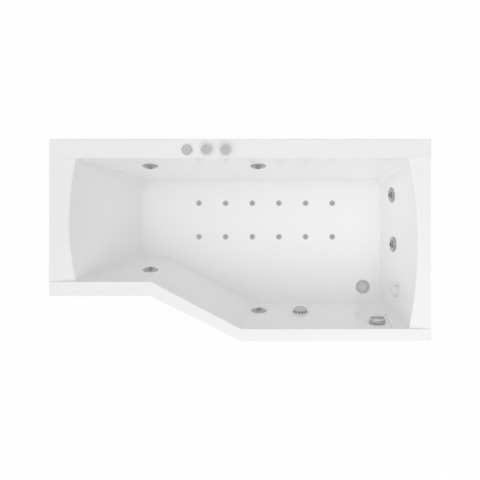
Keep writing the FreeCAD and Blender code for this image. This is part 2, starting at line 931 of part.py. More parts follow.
recess_skin = recess_panel("recess_skin", size.wall, -size.wall * HALF_SHARE)
recess_space = recess_panel("recess_space", ZERO, size.wall)
blank = fuse("shell_body", collar, recess_skin, *skins)
for space in inner_core + [recess_space]:
    blank = cut(f"shell_less_{space.Name}", blank, space)


def strip_edge(edge):
    """Edges where a flat rim strip meets a basin wall."""
    if not level_edge(edge, rim_top.value):
        return None
    middle = edge.CenterOfMass
    gaps = []
    for wall in WALLS.values():
        point, along = wall.line(0.0, 0.0)
        gaps.append(abs((middle - point).dot(wall.inward)))
    return (size.strip_edge.value,) if min(gaps) < NEAR else None


softened = filleted("shell_softened", blank, strip_edge)


def hole(place, radius):
    reach = size.overcut.value
    drill = Part.makeCylinder(radius.value, reach + reach, Vector(0, 0, -reach))
    drill.Placement = place
    return drill


drills = [hole(place, size.jet_hole) for place in jet_seats]
drills += [hole(place, size.floor_jet_hole) for place in floor_jet_seats]
drills += [hole(place, size.control_hole) for place in control_seats]
drills += [
    hole(suction_seat, size.suction_hole),
    hole(overflow_seat, size.overflow_hole),
    hole(lamp_seat, size.lamp_hole),
    hole(drain_seat, size.drain_hole),
]
tub_shell = cut("tub_shell", softened, solid_feature("shell_drills", Part.makeCompound(drills)))
document.recompute()
node("tub_shell", tub_shell)

# Base board, rails, posts and feet.
depth = size.basin_depth.value
board_head = (head_x + size.head_rim + size.head_draft + size.board_head_inset).value
board_foot = (foot_x - size.foot_rim - size.foot_draft - size.board_inset).value
inset = size.board_inset.value
board_sides = [
    Wall(WALLS["back"].line(depth, -inset)[0], WALLS["back"].line(depth, -inset)[0] + ALONG, ZERO),
    Wall(Vector(board_foot, 0, 0), Vector(board_foot, -far, 0), ZERO),
]
for wall_name in ("front", "diagonal", "narrow"):
    point, along = WALLS[wall_name].line(depth, -inset)
    board_sides.append(Wall(point, point + along, ZERO))
board_sides.append(Wall(Vector(board_head, 0, 0), Vector(board_head, far, 0), ZERO))
board_ring = ring_points(board_sides, (rim_top - board_under).value, 0.0)
board_blank = solid_feature("board_blank", flat_face(board_ring).extrude(UP * size.board.value))
board_drills = [hole(place, size.board_jet_hole) for place in floor_jet_seats]
board_drills.append(hole(drain_seat, size.board_drain_hole))
board_holes = solid_feature("board_drills", Part.makeCompound(board_drills))
node("base_board", cut("base_board", board_blank, board_holes))


def tube_along(name, length, axis_length, axis_width, **where):
    """Square tube: outer block less a through block, along X or Y."""
    wall = size.tube_wall
    outer = block(f"{name}_outer", *where.pop("outer"), **where)
    shift = {"x": where.get("x", ZERO), "y": where.get("y", ZERO), "z": where["z"] + wall}
    shift[axis_width] = shift[axis_width] + wall
    sizes = {axis_length: length, axis_width: size.tube - wall * 2}
    inner = block(f"{name}_inner", sizes["x"], sizes["y"], size.tube - wall * 2, **shift)
    return cut(name, outer, inner)


half_tube = size.tube * HALF_SHARE
cross_head = head_x + size.cross_head_setback
cross_middle = foot_kink_x + size.cross_middle_past_kink
cross_foot = foot_x - size.cross_foot_setback
rail_head_end = head_x + size.rail_head_setback
rail_front = jet_row_front + (drain_y - jet_row_front) * RAIL_SHARE
rail_length = cross_foot + half_tube - rail_head_end
rail = tube_along("long_rail", rail_length, "x", "y", outer=(rail_length, size.tube, size.tube), z=ZERO)
document.recompute()
group("long_rails", rail, [
    Placement(Vector(rail_head_end.value, (place - half_tube).value, rail_under.value), Rotation())
    for place in (half_width - size.rail_back_setback, rail_front)
])

post_outer = half_width - size.wall - size.post_gap
narrow_post_outer = narrow_y + size.wall + size.post_gap
foot_places = []
post_places = []
crosses = (
    ("head", cross_head, narrow_post_outer, narrow_y),
    ("middle", cross_middle, -post_outer, -half_width),
    ("foot", cross_foot, -post_outer, -half_width),
)
cross_tubes = []
for label, x, front_end, front_edge in crosses:
    length = post_outer - front_end
    tube = tube_along(
        f"cross_{label}_tube", length, "y", "x", outer=(size.tube, length, size.tube),
        x=x - half_tube, y=front_end, z=cross_under,
    )
    feet_here = [(x, half_width - size.foot_setback), (x, front_edge + size.foot_setback)]
    stem_holes = [
        cylinder(
            f"cross_{label}_stem_{index}", size.foot_stem + size.running_gap, half_tube,
            x=foot_place_x, y=foot_place_y, z=cross_under - size.tube_wall,
        )
        for index, (foot_place_x, foot_place_y) in enumerate(feet_here)
    ]
    cross_tubes.append(cut(f"cross_{label}_drilled", tube, *stem_holes))
    foot_places += feet_here
    post_places += [(x, post_outer - size.post_thickness), (x, front_end)]
gathered("cross_rails", cross_tubes)

post = block("post_pattern", size.post_width, size.post_thickness, rim_top - size.wall - rail_under)
stem_top = cross_under + size.foot_stem_bite
foot = turned("foot_pattern", [
    (ZERO, ZERO),
    (size.foot_pad, ZERO),
    (size.foot_pad, size.foot_pad_height),
    (size.foot_pad_crown, size.foot_pad_shoulder),
    (size.foot_stem, size.foot_pad_shoulder),
    (size.foot_stem, stem_top),
    (ZERO, stem_top),
])
hexagon = document.addObject("Part::Prism", "foot_nut_hexagon")
bind(hexagon, Circumradius=size.foot_nut, Height=size.foot_nut_height)
foot_nut_bore = cylinder("foot_nut_bore", size.foot_stem + size.running_gap, size.foot_nut_height)
foot_nut = cut("foot_nut_pattern", hexagon, foot_nut_bore)
document.recompute()
post_half = (size.post_width * HALF_SHARE).value
group("rim_posts", post, [
    Placement(Vector(x.value - post_half, y.value, rail_under.value), Rotation()) for x, y in post_places
])
nut_level = (cross_under - size.foot_nut_height).value
group("foot_locknuts", foot_nut, [
    Placement(Vector(x.value, y.value, nut_level), Rotation()) for x, y in foot_places
])
FOOT_NAMES = ("head_back", "head_front", "middle_back", "middle_front", "foot_back", "foot_front")
for label, (x, y) in zip(FOOT_NAMES, foot_places):
    node(f"levelling_foot_{label}", foot, Placement(Vector(x.value, y.value, 0), Rotation()))

# Wall jets. Local frame: z = 0 on the wet face of the wall, z into the basin.
gap = size.running_gap
rosette = turned("jet_rosette_pattern", [
    (size.jet_mouth, -size.jet_sleeve_depth),
    (size.jet_sleeve, -size.jet_sleeve_depth),
    (size.jet_sleeve, size.seat_gap),
    (size.jet_face, size.seat_gap),
    (size.jet_face, size.jet_face_edge),
    (size.jet_crown, size.jet_crown_height),
    (size.jet_dish, size.jet_crown_height),
    (size.jet_mouth, size.jet_mouth_height),
])
ball = document.addObject("Part::Sphere", "jet_ball")
bind(ball, Radius=size.jet_ball, Angle1=size.jet_ball_back, Angle2=size.jet_ball_front)
spout = cylinder("jet_spout", size.jet_spout, size.jet_ball * 2, z=-size.jet_ball)
nozzle = cut("jet_nozzle_pattern", ball, spout)
flange_front = -size.wall - size.seal
flange_back = flange_front - size.jet_flange_thickness
jet_core = turned("jet_core", [
    (ZERO, -size.jet_back_depth),
    (size.jet_barrel, -size.jet_back_depth),
    (size.jet_barrel, flange_back),
    (size.jet_flange, flange_back),
    (size.jet_flange, flange_front),
    (size.jet_nose, flange_front),
    (size.jet_nose, ZERO),
    (size.jet_sleeve + gap, ZERO),
    (size.jet_sleeve + gap, -size.jet_sleeve_depth - gap),
    (ZERO, -size.jet_sleeve_depth - gap),
])
pipe_level = -size.jet_pipe_depth
jet_body = cut(
    "jet_body_pattern",
    fuse(
        "jet_body_fused",
        jet_core,
        cylinder("jet_water_socket", size.water_socket, size.water_socket_half * 2,
                 x=-size.water_socket_half, z=pipe_level, axis=ALONG),
        cylinder("jet_air_stem", size.air_stem, size.jet_air_rise, z=pipe_level, axis=ACROSS),
        cylinder("jet_air_socket", size.air_socket, size.air_socket_half * 2,
                 x=-size.air_socket_half, y=size.jet_air_rise, z=pipe_level, axis=ALONG),
    ),
    cylinder("jet_water_bore", size.water_pipe + gap, size.water_socket_half * 2,
             x=-size.water_socket_half, z=pipe_level, axis=ALONG),
    cylinder("jet_air_bore", size.air_pipe + gap, size.air_socket_half * 2,
             x=-size.air_socket_half, y=size.jet_air_rise, z=pipe_level, axis=ALONG),
)


def seal_ring(name, hole_radius, outer):
    inner = hole_radius + gap
    front = -size.wall
    back = front - size.seal
    return turned(name, [(inner, back), (outer, back), (outer, front), (inner, front)])


jet_seal = seal_ring("jet_seal_pattern", size.jet_hole, size.jet_hole + size.seal_land)
document.recompute()
# behind the bowed foot wall the flat seals stand off a little
dry_seats = jet_seats[:4] + [shifted(place, z=-gap.value) for place in jet_seats[4:]]
JET_NAMES = ("back_head", "back_foot", "narrow", "front", "foot_back", "foot_front")
# two rosettes stand right beside the bather's clear room and are nodes of their own
LONE_ROSETTES = ("back_foot", "foot_back")
group("jet_rosettes", rosette, [
    place for label, place in zip(JET_NAMES, jet_seats) if label not in LONE_ROSETTES
])
group("jet_bodies", jet_body, dry_seats)
group("jet_seals", jet_seal, dry_seats)
for label, place in zip(JET_NAMES, jet_seats):
    node(f"jet_nozzle_{label}", nozzle, shifted(place, z=size.jet_ball_centre.value))
    if label in LONE_ROSETTES:
        node(f"jet_rosette_{label}", rosette, place)


# Pipes: straight runs joined by tangent bends.
def bent_path(points, bend):
    edges = []
    start = points[0]
    for index in range(1, len(points) - 1):
        corner = points[index]
        into = (corner - points[index - 1]).normalize()
        out = (points[index + 1] - corner).normalize()
        turn = into.getAngle(out)
        reach = bend * math.tan(turn * HALF_SHARE)
        entry = corner - into * reach
        leave = corner + out * reach
        apex = bend / math.cos(turn * HALF_SHARE) - bend
        crown = corner + (out - into).normalize() * apex
        edges.append(Part.makeLine(start, entry))
        edges.append(Part.Arc(entry, crown, leave).toShape())
        start = leave
    edges.append(Part.makeLine(start, points[-1]))
    return Part.Wire(edges)


def swept(points, radius, bend):
    path = bent_path(points, bend)
    direction = (points[1] - points[0]).normalize()
    ring = Part.Wire([Part.makeCircle(radius, points[0], direction)])
    return path.makePipeShell([ring], True, False)


def pipe_bore(points, radius, bend, capped):
    """Room inside a pipe. A capped pipe keeps a wall at both ends."""
    wall = size.pipe_wall.value
    end_shift = wall if capped else -wall
    first = points[0] + (points[1] - points[0]).normalize() * end_shift
    last = points[-1] + (points[-2] - points[-1]).normalize() * end_shift
    return swept([first] + points[1:-1] + [last], radius.value - wall, bend.value)


def pipe(points, radius, bend, capped):
    return swept(points, radius.value, bend.value).cut(pipe_bore(points, radius, bend, capped))


def plan_crossing(first, first_along, second, second_along):
    met = crossing((first, first_along), (second, second_along))
    return Vector(met.x, met.y, first.z)


pump_x = head_x + size.pump_setback
pump_front = half_width - size.pump_front_setback


def round_basin(rise):
    """Corners of a pipe that visits every jet body, at a given rise over the water sockets."""
    back_head, back_foot, narrow, front, foot_back, foot_front = [
        shifted(place, y=rise, z=-size.jet_pipe_depth.value).Base for place in dry_seats
    ]
    ways = [place.Rotation.multVec(-ALONG) for place in dry_seats]
    tail = size.pipe_tail.value
    lead = size.pipe_lead.value
    back_corner = plan_crossing(foot_back, ways[4], back_foot, ways[1])
    head_corner = Vector(pump_x.value, back_head.y, back_head.z)
    narrow_corner = Vector(pump_x.value, narrow.y, narrow.z)
    return [
        foot_front - ways[5] * tail,
        foot_front + ways[5] * lead,
        foot_back - ways[4] * lead,
        back_corner,
        back_foot - ways[1] * lead,
        head_corner,
        narrow_corner,
        narrow + ways[2] * lead,
        front - ways[3] * lead,
        front + ways[3] * tail,
    ]


water_points = round_basin(0.0)
plate_top = board_under + size.plate
pump_axis_level = plate_top + size.pump_rise
riser_y = pump_front + size.volute_length * HALF_SHARE
head_corner, narrow_corner = water_points[5:7]
along_share = (riser_y.value - head_corner.y) / (narrow_corner.y - head_corner.y)
riser_top = head_corner.z + (narrow_corner.z - head_corner.z) * along_share
riser_low = (pump_axis_level + size.volute + gap).value
riser_foot = Vector(pump_x.value, riser_y.value, riser_low)
riser_rise = riser_top - riser_low
riser = Part.makeCylinder(size.riser_pipe.value, riser_rise, riser_foot)
riser_bore = Part.makeCylinder((size.riser_pipe - size.pipe_wall).value, riser_rise, riser_foot)
water_outside = swept(water_points, size.water_pipe.value, size.pipe_bend.value).fuse(riser)
water_bore = pipe_bore(water_points, size.water_pipe, size.pipe_bend, True).fuse(riser_bore)
water_pipe = solid_feature("water_pipe", water_outside.cut(water_bore))
node("water_pipe", water_pipe)
air_points = round_basin(size.jet_air_rise.value)
node("jet_air_pipe", solid_feature("jet_air_pipe", pipe(air_points, size.air_pipe, size.pipe_bend, True)))

# Floor air jets and the pipe that feeds them. Local z = 0 on the basin floor.
floor_cap = turned("floor_jet_cap_pattern", [
    (ZERO, -size.floor_jet_stem_depth),
    (size.floor_jet_stem, -size.floor_jet_stem_depth),
    (size.floor_jet_stem, ZERO),
    (size.floor_jet_cap, ZERO),
    (size.floor_jet_cap, size.floor_jet_cap_edge),
    (size.floor_jet_stem, size.floor_jet_cap_height),
    (size.floor_jet_dimple, size.floor_jet_cap_height),
    (ZERO, size.floor_jet_cap_height - size.floor_jet_dimple_depth),
])
floor_pipe_level = floor_under - size.floor_pipe_drop
floor_pipe_local = -size.wall - size.floor_pipe_drop
floor_jet_core = turned("floor_jet_core", [
    (ZERO, floor_pipe_local),
    (size.floor_jet_barrel, floor_pipe_local),
    (size.floor_jet_barrel, -size.wall - size.floor_jet_flange_thickness),
    (size.floor_jet_flange, -size.wall - size.floor_jet_flange_thickness),
    (size.floor_jet_flange, -size.wall),
    (size.floor_jet_stem + gap, -size.wall),
    (size.floor_jet_stem + gap, -size.floor_jet_stem_depth - gap),
    (ZERO, -size.floor_jet_stem_depth - gap),
])
floor_body = cut(
    "floor_jet_body_pattern",
    fuse(
        "floor_jet_body_fused",
        floor_jet_core,
        cylinder("floor_jet_socket", size.floor_socket, size.floor_socket_half * 2,
                 x=-size.floor_socket_half, z=floor_pipe_local, axis=ALONG),
    ),
    cylinder("floor_jet_bore", size.floor_pipe + gap, size.floor_socket_half * 2,
             x=-size.floor_socket_half, z=floor_pipe_local, axis=ALONG),
)
document.recompute()
group("floor_jet_caps", floor_cap, floor_jet_seats)
group("floor_jet_bodies", floor_body, floor_jet_seats)
blower_y = half_width - size.blower_setback
blower_level = plate_top + size.blower_outlet_level
floor_jet_last = size.floor_jet_first + size.floor_jet_pitch * (FLOOR_JET_COLUMNS - 1)
turn_x = floor_jet_last + size.floor_pipe_turn
pipe_cross_x = head_x + size.floor_pipe_cross_setback
pipe_land_x = head_x + size.floor_pipe_land_setback
floor_points = [
    (pump_x + size.blower_outlet_reach - size.blower_outlet_seat, blower_y, blower_level),
    (pipe_cross_x, blower_y, blower_level),
    (pipe_cross_x, jet_row_front, blower_level),
    (pipe_land_x, jet_row_front, floor_pipe_level),
    (turn_x, jet_row_front, floor_pipe_level),
    (turn_x, jet_row_back, floor_pipe_level),
    (size.floor_jet_first - size.floor_pipe_end, jet_row_back, floor_pipe_level),
]
floor_points = [Vector(x.value, y.value, z.value) for x, y, z in floor_points]
floor_pipe = pipe(floor_points, size.floor_pipe, size.floor_pipe_bend, True)
node("floor_air_pipe", solid_feature("floor_air_pipe", floor_pipe))

# Deck controls. Local z = 0 on the deck.
bezel = turned("button_bezel_pattern", [
    (ZERO, -size.control_barrel_depth),
    (size.control_barrel, -size.control_barrel_depth),
    (size.control_barrel, ZERO),
    (size.bezel, ZERO),
    (size.bezel, size.bezel_height - size.bezel_edge),
    (size.bezel - size.bezel_edge, size.bezel_height),
    (size.button + gap, size.bezel_height),
    (size.button + gap, -size.button_floor),
    (size.button_stem + gap, -size.button_floor),
    (size.button_stem + gap, -size.button_stem_room),
    (ZERO, -size.button_stem_room),
])
button = turned("push_button_pattern", [
    (ZERO, -size.button_stem_depth),
    (size.button_stem, -size.button_stem_depth),
    (size.button_stem, -size.button_bottom),
    (size.button, -size.button_bottom),
    (size.button, size.button_edge),
    (size.button_crown, size.button_top),
    (ZERO, size.button_top),
])
valve_core = turned("air_valve_core", [
    (ZERO, -size.control_barrel_depth),
    (size.control_barrel, -size.control_barrel_depth),
    (size.control_barrel, ZERO),
    (size.valve_flange, ZERO),
    (size.valve_flange, size.valve_flange_height),
    (size.valve_spindle, size.valve_flange_height),
    (size.valve_spindle, size.valve_spindle_top),
    (ZERO, size.valve_spindle_top),
])
air_line = air_points[5]
air_drop = measured(rim_top.value - air_line.z)
air_side = measured(air_line.y - control_y.value)
valve_body = cut(
    "air_valve_pattern",
    fuse(
        "air_valve_fused",
        valve_core,
        cylinder("air_valve_tail", size.valve_tail, air_drop - size.control_barrel_depth + gap,
                 z=-air_drop),
        cylinder("air_valve_socket", size.air_socket, size.air_socket_half * 2,
                 x=-size.air_socket_half, y=air_side, z=-air_drop, axis=ALONG),
    ),
    cylinder("air_valve_bore", size.air_pipe + gap, size.air_socket_half * 2,
             x=-size.air_socket_half, y=air_side, z=-air_drop, axis=ALONG),
)
knob_bottom = size.valve_flange_height + gap
knob_turn = turned("air_knob_turn", [
    (size.valve_spindle + gap, knob_bottom),
    (size.knob, knob_bottom),
    (size.knob_grip, size.knob_shoulder),
    (size.knob_grip - size.knob_dish_depth, size.knob_top),
    (size.knob_dish, size.knob_top),
    (ZERO, size.knob_top - size.knob_dish_depth),
    (ZERO, size.valve_spindle_top + gap),
    (size.valve_spindle + gap, size.valve_spindle_top + gap),
])
knob_notch = block(
    "air_knob_notch", size.knob_notch_width, size.knob_notch_length, size.knob_notch_length,
    x=-size.knob_notch_width * HALF_SHARE, y=-size.knob, z=size.knob_shoulder - size.knob_dish_depth,
)
knob = cut("air_knob_pattern", knob_turn, knob_notch)
nut_hexagon = document.addObject("Part::Prism", "deck_nut_hexagon")
bind(nut_hexagon, Circumradius=size.control_nut, Height=size.control_nut_height)
deck_nut = cut("deck_nut_pattern", nut_hexagon,
               cylinder("deck_nut_bore", size.control_barrel + gap, size.control_nut_height))
document.recompute()
node("button_bezel", bezel, control_seats[0])
node("push_button", button, control_seats[0])
group("air_valves", valve_body, control_seats[1:])
node("air_knob_head", knob, control_seats[1])
node("air_knob_foot", knob, control_seats[2])
group("deck_nuts", deck_nut, [
    shifted(place, z=-(size.wall + size.control_nut_height).value) for place in control_seats
])

# Drain, plug and trap. Local z = 0 on the basin floor.
flange = turned("drain_flange_pattern", [
    (size.drain_ledge, -size.drain_tail_depth),
    (size.drain_tail, -size.drain_tail_depth),
    (size.drain_tail, ZERO),
    (size.drain_flange, ZERO),
    (size.drain_flange, size.drain_flange_edge),
    (size.drain_flange - size.drain_flange_height, size.drain_flange_height),
    (size.drain_throat, size.drain_flange_height),
    (size.drain_throat, -size.drain_ledge_depth),
    (size.drain_ledge, -size.drain_ledge_depth),
])
plug = turned("drain_plug_pattern", [
    (ZERO, -size.plug_stem_depth),
    (size.plug_stem, -size.plug_stem_depth),
    (size.plug_stem, -size.plug_depth),
    (size.plug, -size.plug_depth),
    (size.plug, size.plug_edge),
    (size.plug - size.plug_edge, size.plug_top),
    (ZERO, size.plug_top),
])
drain_seal = seal_ring("drain_seal_pattern", size.drain_hole, size.trap_flange)
document.recompute()
node("drain_flange", flange, drain_seat)
node("drain_plug", plug, drain_seat)
node("drain_seal", drain_seal, drain_seat)

trap_top = floor_under - size.seal
neck_bore = size.drain_tail + gap
trap_turn = turned("trap_turn", [
    (ZERO, size.trap_cup_bottom),
    (size.trap_cup, size.trap_cup_bottom),
    (size.trap_cup, size.trap_neck_bottom),
    (size.trap_neck, size.trap_neck_bottom),
    (size.trap_neck, trap_top - size.trap_flange_thickness),
    (size.trap_flange, trap_top - size.trap_flange_thickness),
    (size.trap_flange, trap_top),
    (neck_bore, trap_top),
    (neck_bore, size.trap_neck_bottom - size.trap_wall),
    (size.trap_cup - size.trap_wall, size.trap_neck_bottom - size.trap_wall),
    (size.trap_cup - size.trap_wall, size.trap_cup_bottom + size.trap_wall),
    (ZERO, size.trap_cup_bottom + size.trap_wall),
])
front_lean = WALLS["front"].lean
drop_way = Vector(0, -math.cos(front_lean), -math.sin(front_lean))
overflow_centre = shifted(overflow_seat, z=-size.overflow_pipe_depth.value).Base
drain_point = Vector(drain_x.value, drain_y.value, size.overflow_level.value)
pipe_corner = Vector(overflow_centre.x, overflow_centre.y, size.overflow_level.value)
inlet_way = (pipe_corner - drain_point).normalize()
waste_start = size.trap_cup - size.trap_wall
inlet_start = neck_bore + gap
trap_body = cut(
    "trap_body",
    fuse(
        "trap_fused",
        trap_turn,
        cylinder("trap_waste_socket", size.waste_socket, size.waste_reach - waste_start,
                 y=waste_start, z=size.waste_level, axis=ACROSS),
        solid_feature("trap_inlet", Part.makeCylinder(
            size.overflow_socket.value, (size.overflow_inlet_reach - inlet_start).value,
            inlet_way * inlet_start.value + UP * size.overflow_level.value, inlet_way,
        )),
    ),
    cylinder("trap_waste_bore", size.waste_pipe + gap, size.waste_seat,
             y=size.waste_reach - size.waste_seat, z=size.waste_level, axis=ACROSS),
    cylinder("trap_waste_way", size.waste_pipe - size.pipe_wall, size.waste_reach,
             z=size.waste_level, axis=ACROSS),
    solid_feature("trap_inlet_bore", Part.makeCylinder(
        (size.waste_pipe + gap).value, size.overflow_inlet_reach.value,
        inlet_way * inlet_start.value + UP * size.overflow_level.value, inlet_way,
    )),
)
waste_nut = turned("waste_nut_pattern", [
    (size.waste_socket + gap, ZERO),
    (size.waste_nut, ZERO),
    (size.waste_nut, size.waste_nut_length),
    (size.waste_socket + gap, size.waste_nut_length),
])
document.recompute()
trap_place = Placement(Vector(drain_x.value, drain_y.value, 0), Rotation())
node("drain_trap", trap_body, trap_place)
nut_start = (size.waste_reach - size.waste_nut_length).value
nut_place = Placement(Vector(0, nut_start, size.waste_level.value), Rotation(UP, ACROSS))
node("waste_nut", waste_nut, trap_place.multiply(nut_place))

# Overflow. Local z = 0 on the recess panel.
overflow_back = -size.wall - size.seal
overflow_core = turned("overflow_core", [
    (ZERO, -size.overflow_back_depth),
    (size.overflow_flange, -size.overflow_back_depth),
    (size.overflow_flange, overflow_back),
    (size.overflow_nose, overflow_back),
    (size.overflow_nose, ZERO),
    (size.overflow_nose - size.overflow_web, ZERO),
    (size.overflow_nose - size.overflow_web, -size.overflow_back_depth + size.overflow_web),
    (size.overflow_spindle, -size.overflow_back_depth + size.overflow_web),
    (size.overflow_spindle, size.overflow_spindle_top),
    (ZERO, size.overflow_spindle_top),
])


def hanging(name, radius, start, length, depth):
    """Upright cylinder below a front-wall fitting, given in the fitting's own leaning frame."""
    base = UP * -depth.value + drop_way * start.value
    return solid_feature(name, Part.makeCylinder(radius.value, length.value, base, drop_way))


overflow_clear = size.overflow_spindle + size.overflow_web
overflow_body = cut(
    "overflow_body_pattern",
    fuse(
        "overflow_body_fused",
        overflow_core,
        hanging("overflow_socket", size.overflow_socket, overflow_clear,
                size.overflow_socket_length - overflow_clear, size.overflow_pipe_depth),
    ),
    hanging("overflow_socket_bore", size.waste_pipe + gap, size.overflow_pipe_start - gap,
            size.overflow_socket_length, size.overflow_pipe_depth),
    hanging("overflow_way", size.waste_pipe - size.pipe_wall, overflow_clear,
            size.overflow_socket_length, size.overflow_pipe_depth),
)
overflow_knob_turn = turned("overflow_knob_turn", [
    (size.overflow_spindle + gap, size.overflow_knob_back),
    (size.overflow_knob, size.overflow_knob_back),
    (size.overflow_knob, size.overflow_knob_edge),
    (size.overflow_knob_dome, size.overflow_knob_top),
    (ZERO, size.overflow_knob_top),
    (ZERO, size.overflow_spindle_top + gap),
    (size.overflow_spindle + gap, size.overflow_spindle_top + gap),
])
grip = block(
    "overflow_grip", size.overflow_knob_dome * 2, size.overflow_grip_width, size.overflow_grip_height * 2,
    x=-size.overflow_knob_dome, y=-size.overflow_grip_width * HALF_SHARE,
    z=size.overflow_knob_top - size.overflow_grip_height,
)
overflow_knob = fuse("overflow_knob_pattern", overflow_knob_turn, grip)
overflow_seal = seal_ring("overflow_seal_pattern", size.overflow_hole, size.overflow_flange)
document.recompute()
node("overflow_body", overflow_body, overflow_seat)
node("overflow_seal", overflow_seal, overflow_seat)
node("overflow_knob", overflow_knob, overflow_seat)
inlet_end = drain_point + inlet_way * (size.overflow_inlet_reach - size.waste_seat).value
overflow_points = [overflow_centre - UP * size.overflow_pipe_start.value, pipe_corner, inlet_end]
overflow_pipe = pipe(overflow_points, size.waste_pipe, size.pipe_bend, False)
node("overflow_pipe", solid_feature("overflow_pipe", overflow_pipe))

# Suction fitting and its pipe to the pump. Local z = 0 on the wet face of the wall.
cover_in = size.suction_cover - size.suction_cover_wall
cover_turn = turned("suction_cover_turn", [
    (size.suction_sleeve - size.suction_cover_wall, -size.suction_sleeve_depth),
    (size.suction_sleeve, -size.suction_sleeve_depth),
    (size.suction_sleeve, size.seat_gap),
    (size.suction_cover, size.seat_gap),
    (size.suction_cover, size.suction_cover_edge),
    (size.suction_cover_flat, size.suction_cover_top),
    (ZERO, size.suction_cover_top),
    (ZERO, size.suction_cover_top - size.suction_cover_wall),
    (size.suction_cover_flat - size.suction_cover_wall, size.suction_cover_top - size.suction_cover_wall),
    (cover_in, size.suction_cover_edge - size.suction_cover_wall),
    (cover_in, size.suction_cover_wall + size.seat_gap),
    (size.suction_sleeve - size.suction_cover_wall, size.suction_cover_wall + size.seat_gap),
])
slot = block(
    "suction_slot", size.suction_cover, size.suction_slot_width, size.suction_slot_height,
    x=size.suction_sleeve, y=-size.suction_slot_width * HALF_SHARE, z=size.suction_slot_low,
)
document.recompute()
slots = []
for step in range(SUCTION_SLOTS):
    turned_slot = slot.Shape.copy()
    turned_slot.rotate(Vector(0, 0, 0), UP, FULL_TURN * step / SUCTION_SLOTS)
    slots.append(turned_slot)
suction_slots = solid_feature("suction_slots", Part.makeCompound(slots))
suction_cover = cut("suction_cover_pattern", cover_turn, suction_slots)
suction_core = turned("suction_core", [
    (ZERO, -size.suction_back_depth),
    (size.suction_barrel, -size.suction_back_depth),
    (size.suction_barrel, overflow_back),
    (size.suction_nose, overflow_back),
    (size.suction_nose, ZERO),
    (size.suction_sleeve + gap, ZERO),
    (size.suction_sleeve + gap, -size.suction_back_depth + size.trap_wall),
    (ZERO, -size.suction_back_depth + size.trap_wall),
])
suction_body = cut(
    "suction_body_pattern",
    fuse(
        "suction_body_fused",
        suction_core,
        cylinder("suction_socket", size.suction_socket, size.suction_socket_length - size.suction_sleeve,
                 y=-size.suction_sleeve, z=-size.suction_pipe_depth, axis=-ACROSS),
    ),
    cylinder("suction_socket_bore", size.suction_pipe + gap, size.suction_socket_length,
             y=-size.suction_pipe_start + gap, z=-size.suction_pipe_depth, axis=-ACROSS),
    cylinder("suction_way", size.suction_sleeve - size.suction_cover_wall, size.suction_socket_length,
             z=-size.suction_pipe_depth, axis=-ACROSS),
)
suction_seal = seal_ring("suction_seal_pattern", size.suction_hole, size.suction_barrel)
document.recompute()
node("suction_cover", suction_cover, suction_seat)
node("suction_body", suction_body, suction_seat)
node("suction_seal", suction_seal, suction_seat)
pipe_offset = size.suction_pipe_depth.value
below = (rim_top - size.suction_pipe_level).value
suction_start = shifted(suction_seat, y=-size.suction_pipe_start.value, z=-pipe_offset).Base
down_wall = suction_seat.Rotation.multVec(-ACROSS)
suction_drop = suction_start.z - size.suction_pipe_level.value
first_corner = suction_start + down_wall * (suction_drop / -down_wall.z)
level = UP * size.suction_pipe_level.value
lines = {wall_name: wall.line(below, pipe_offset) for wall_name, wall in WALLS.items()}
narrow_run_y = lines["narrow"][0].y
pump_inlet = Vector(pump_x.value, (pump_front - gap).value, pump_axis_level.value)
suction_points = [
    suction_start,
    first_corner,
    crossing(lines["front"], lines["diagonal"]) + level,
    crossing(lines["diagonal"], lines["narrow"]) + level,
    Vector(pump_x.value, narrow_run_y, pump_axis_level.value),
    pump_inlet,
]
suction_pipe = pipe(suction_points, size.suction_pipe, size.suction_bend, False)
node("suction_pipe", solid_feature("suction_pipe", suction_pipe))

# Underwater lamp. Local z = 0 on the wet face of the wall.
lamp_bezel = turned("lamp_bezel_pattern", [
    (size.lamp_ledge, size.seat_gap),
    (size.lamp_bezel, size.seat_gap),
    (size.lamp_bezel, size.lamp_bezel_edge),
    (size.lamp_bezel_mouth + size.seat_gap, size.lamp_bezel_height),
    (size.lamp_bezel_mouth, size.lamp_bezel_height),
    (size.lamp_bezel_mouth, size.lamp_ledge_height),
    (size.lamp_ledge, size.lamp_ledge_height),
])
dome = document.addObject("Part::Sphere", "lamp_dome")
bind(dome, Radius=size.lamp_lens, Angle1=ZERO)
hollow = document.addObject("Part::Sphere", "lamp_dome_hollow")
bind(hollow, Radius=size.lamp_lens - size.lamp_lens_wall)
lens = cut("lamp_lens_pattern", dome, hollow)
lamp_body = turned("lamp_body_pattern", [
    (ZERO, -size.lamp_back_depth),
    (size.lamp_can, -size.lamp_back_depth),
    (size.lamp_can, -size.wall - size.lamp_flange_thickness),
    (size.lamp_flange, -size.wall - size.lamp_flange_thickness),
    (size.lamp_flange, -size.wall),
    (size.lamp_nose, -size.wall),
    (size.lamp_nose, ZERO),
    (ZERO, ZERO),
])
document.recompute()
node("lamp_bezel", lamp_bezel, lamp_seat)
node("lamp_lens", lens, shifted(lamp_seat, z=(size.lamp_ledge_height + gap).value))
node("lamp_body", lamp_body, shifted(lamp_seat, z=-gap.value))

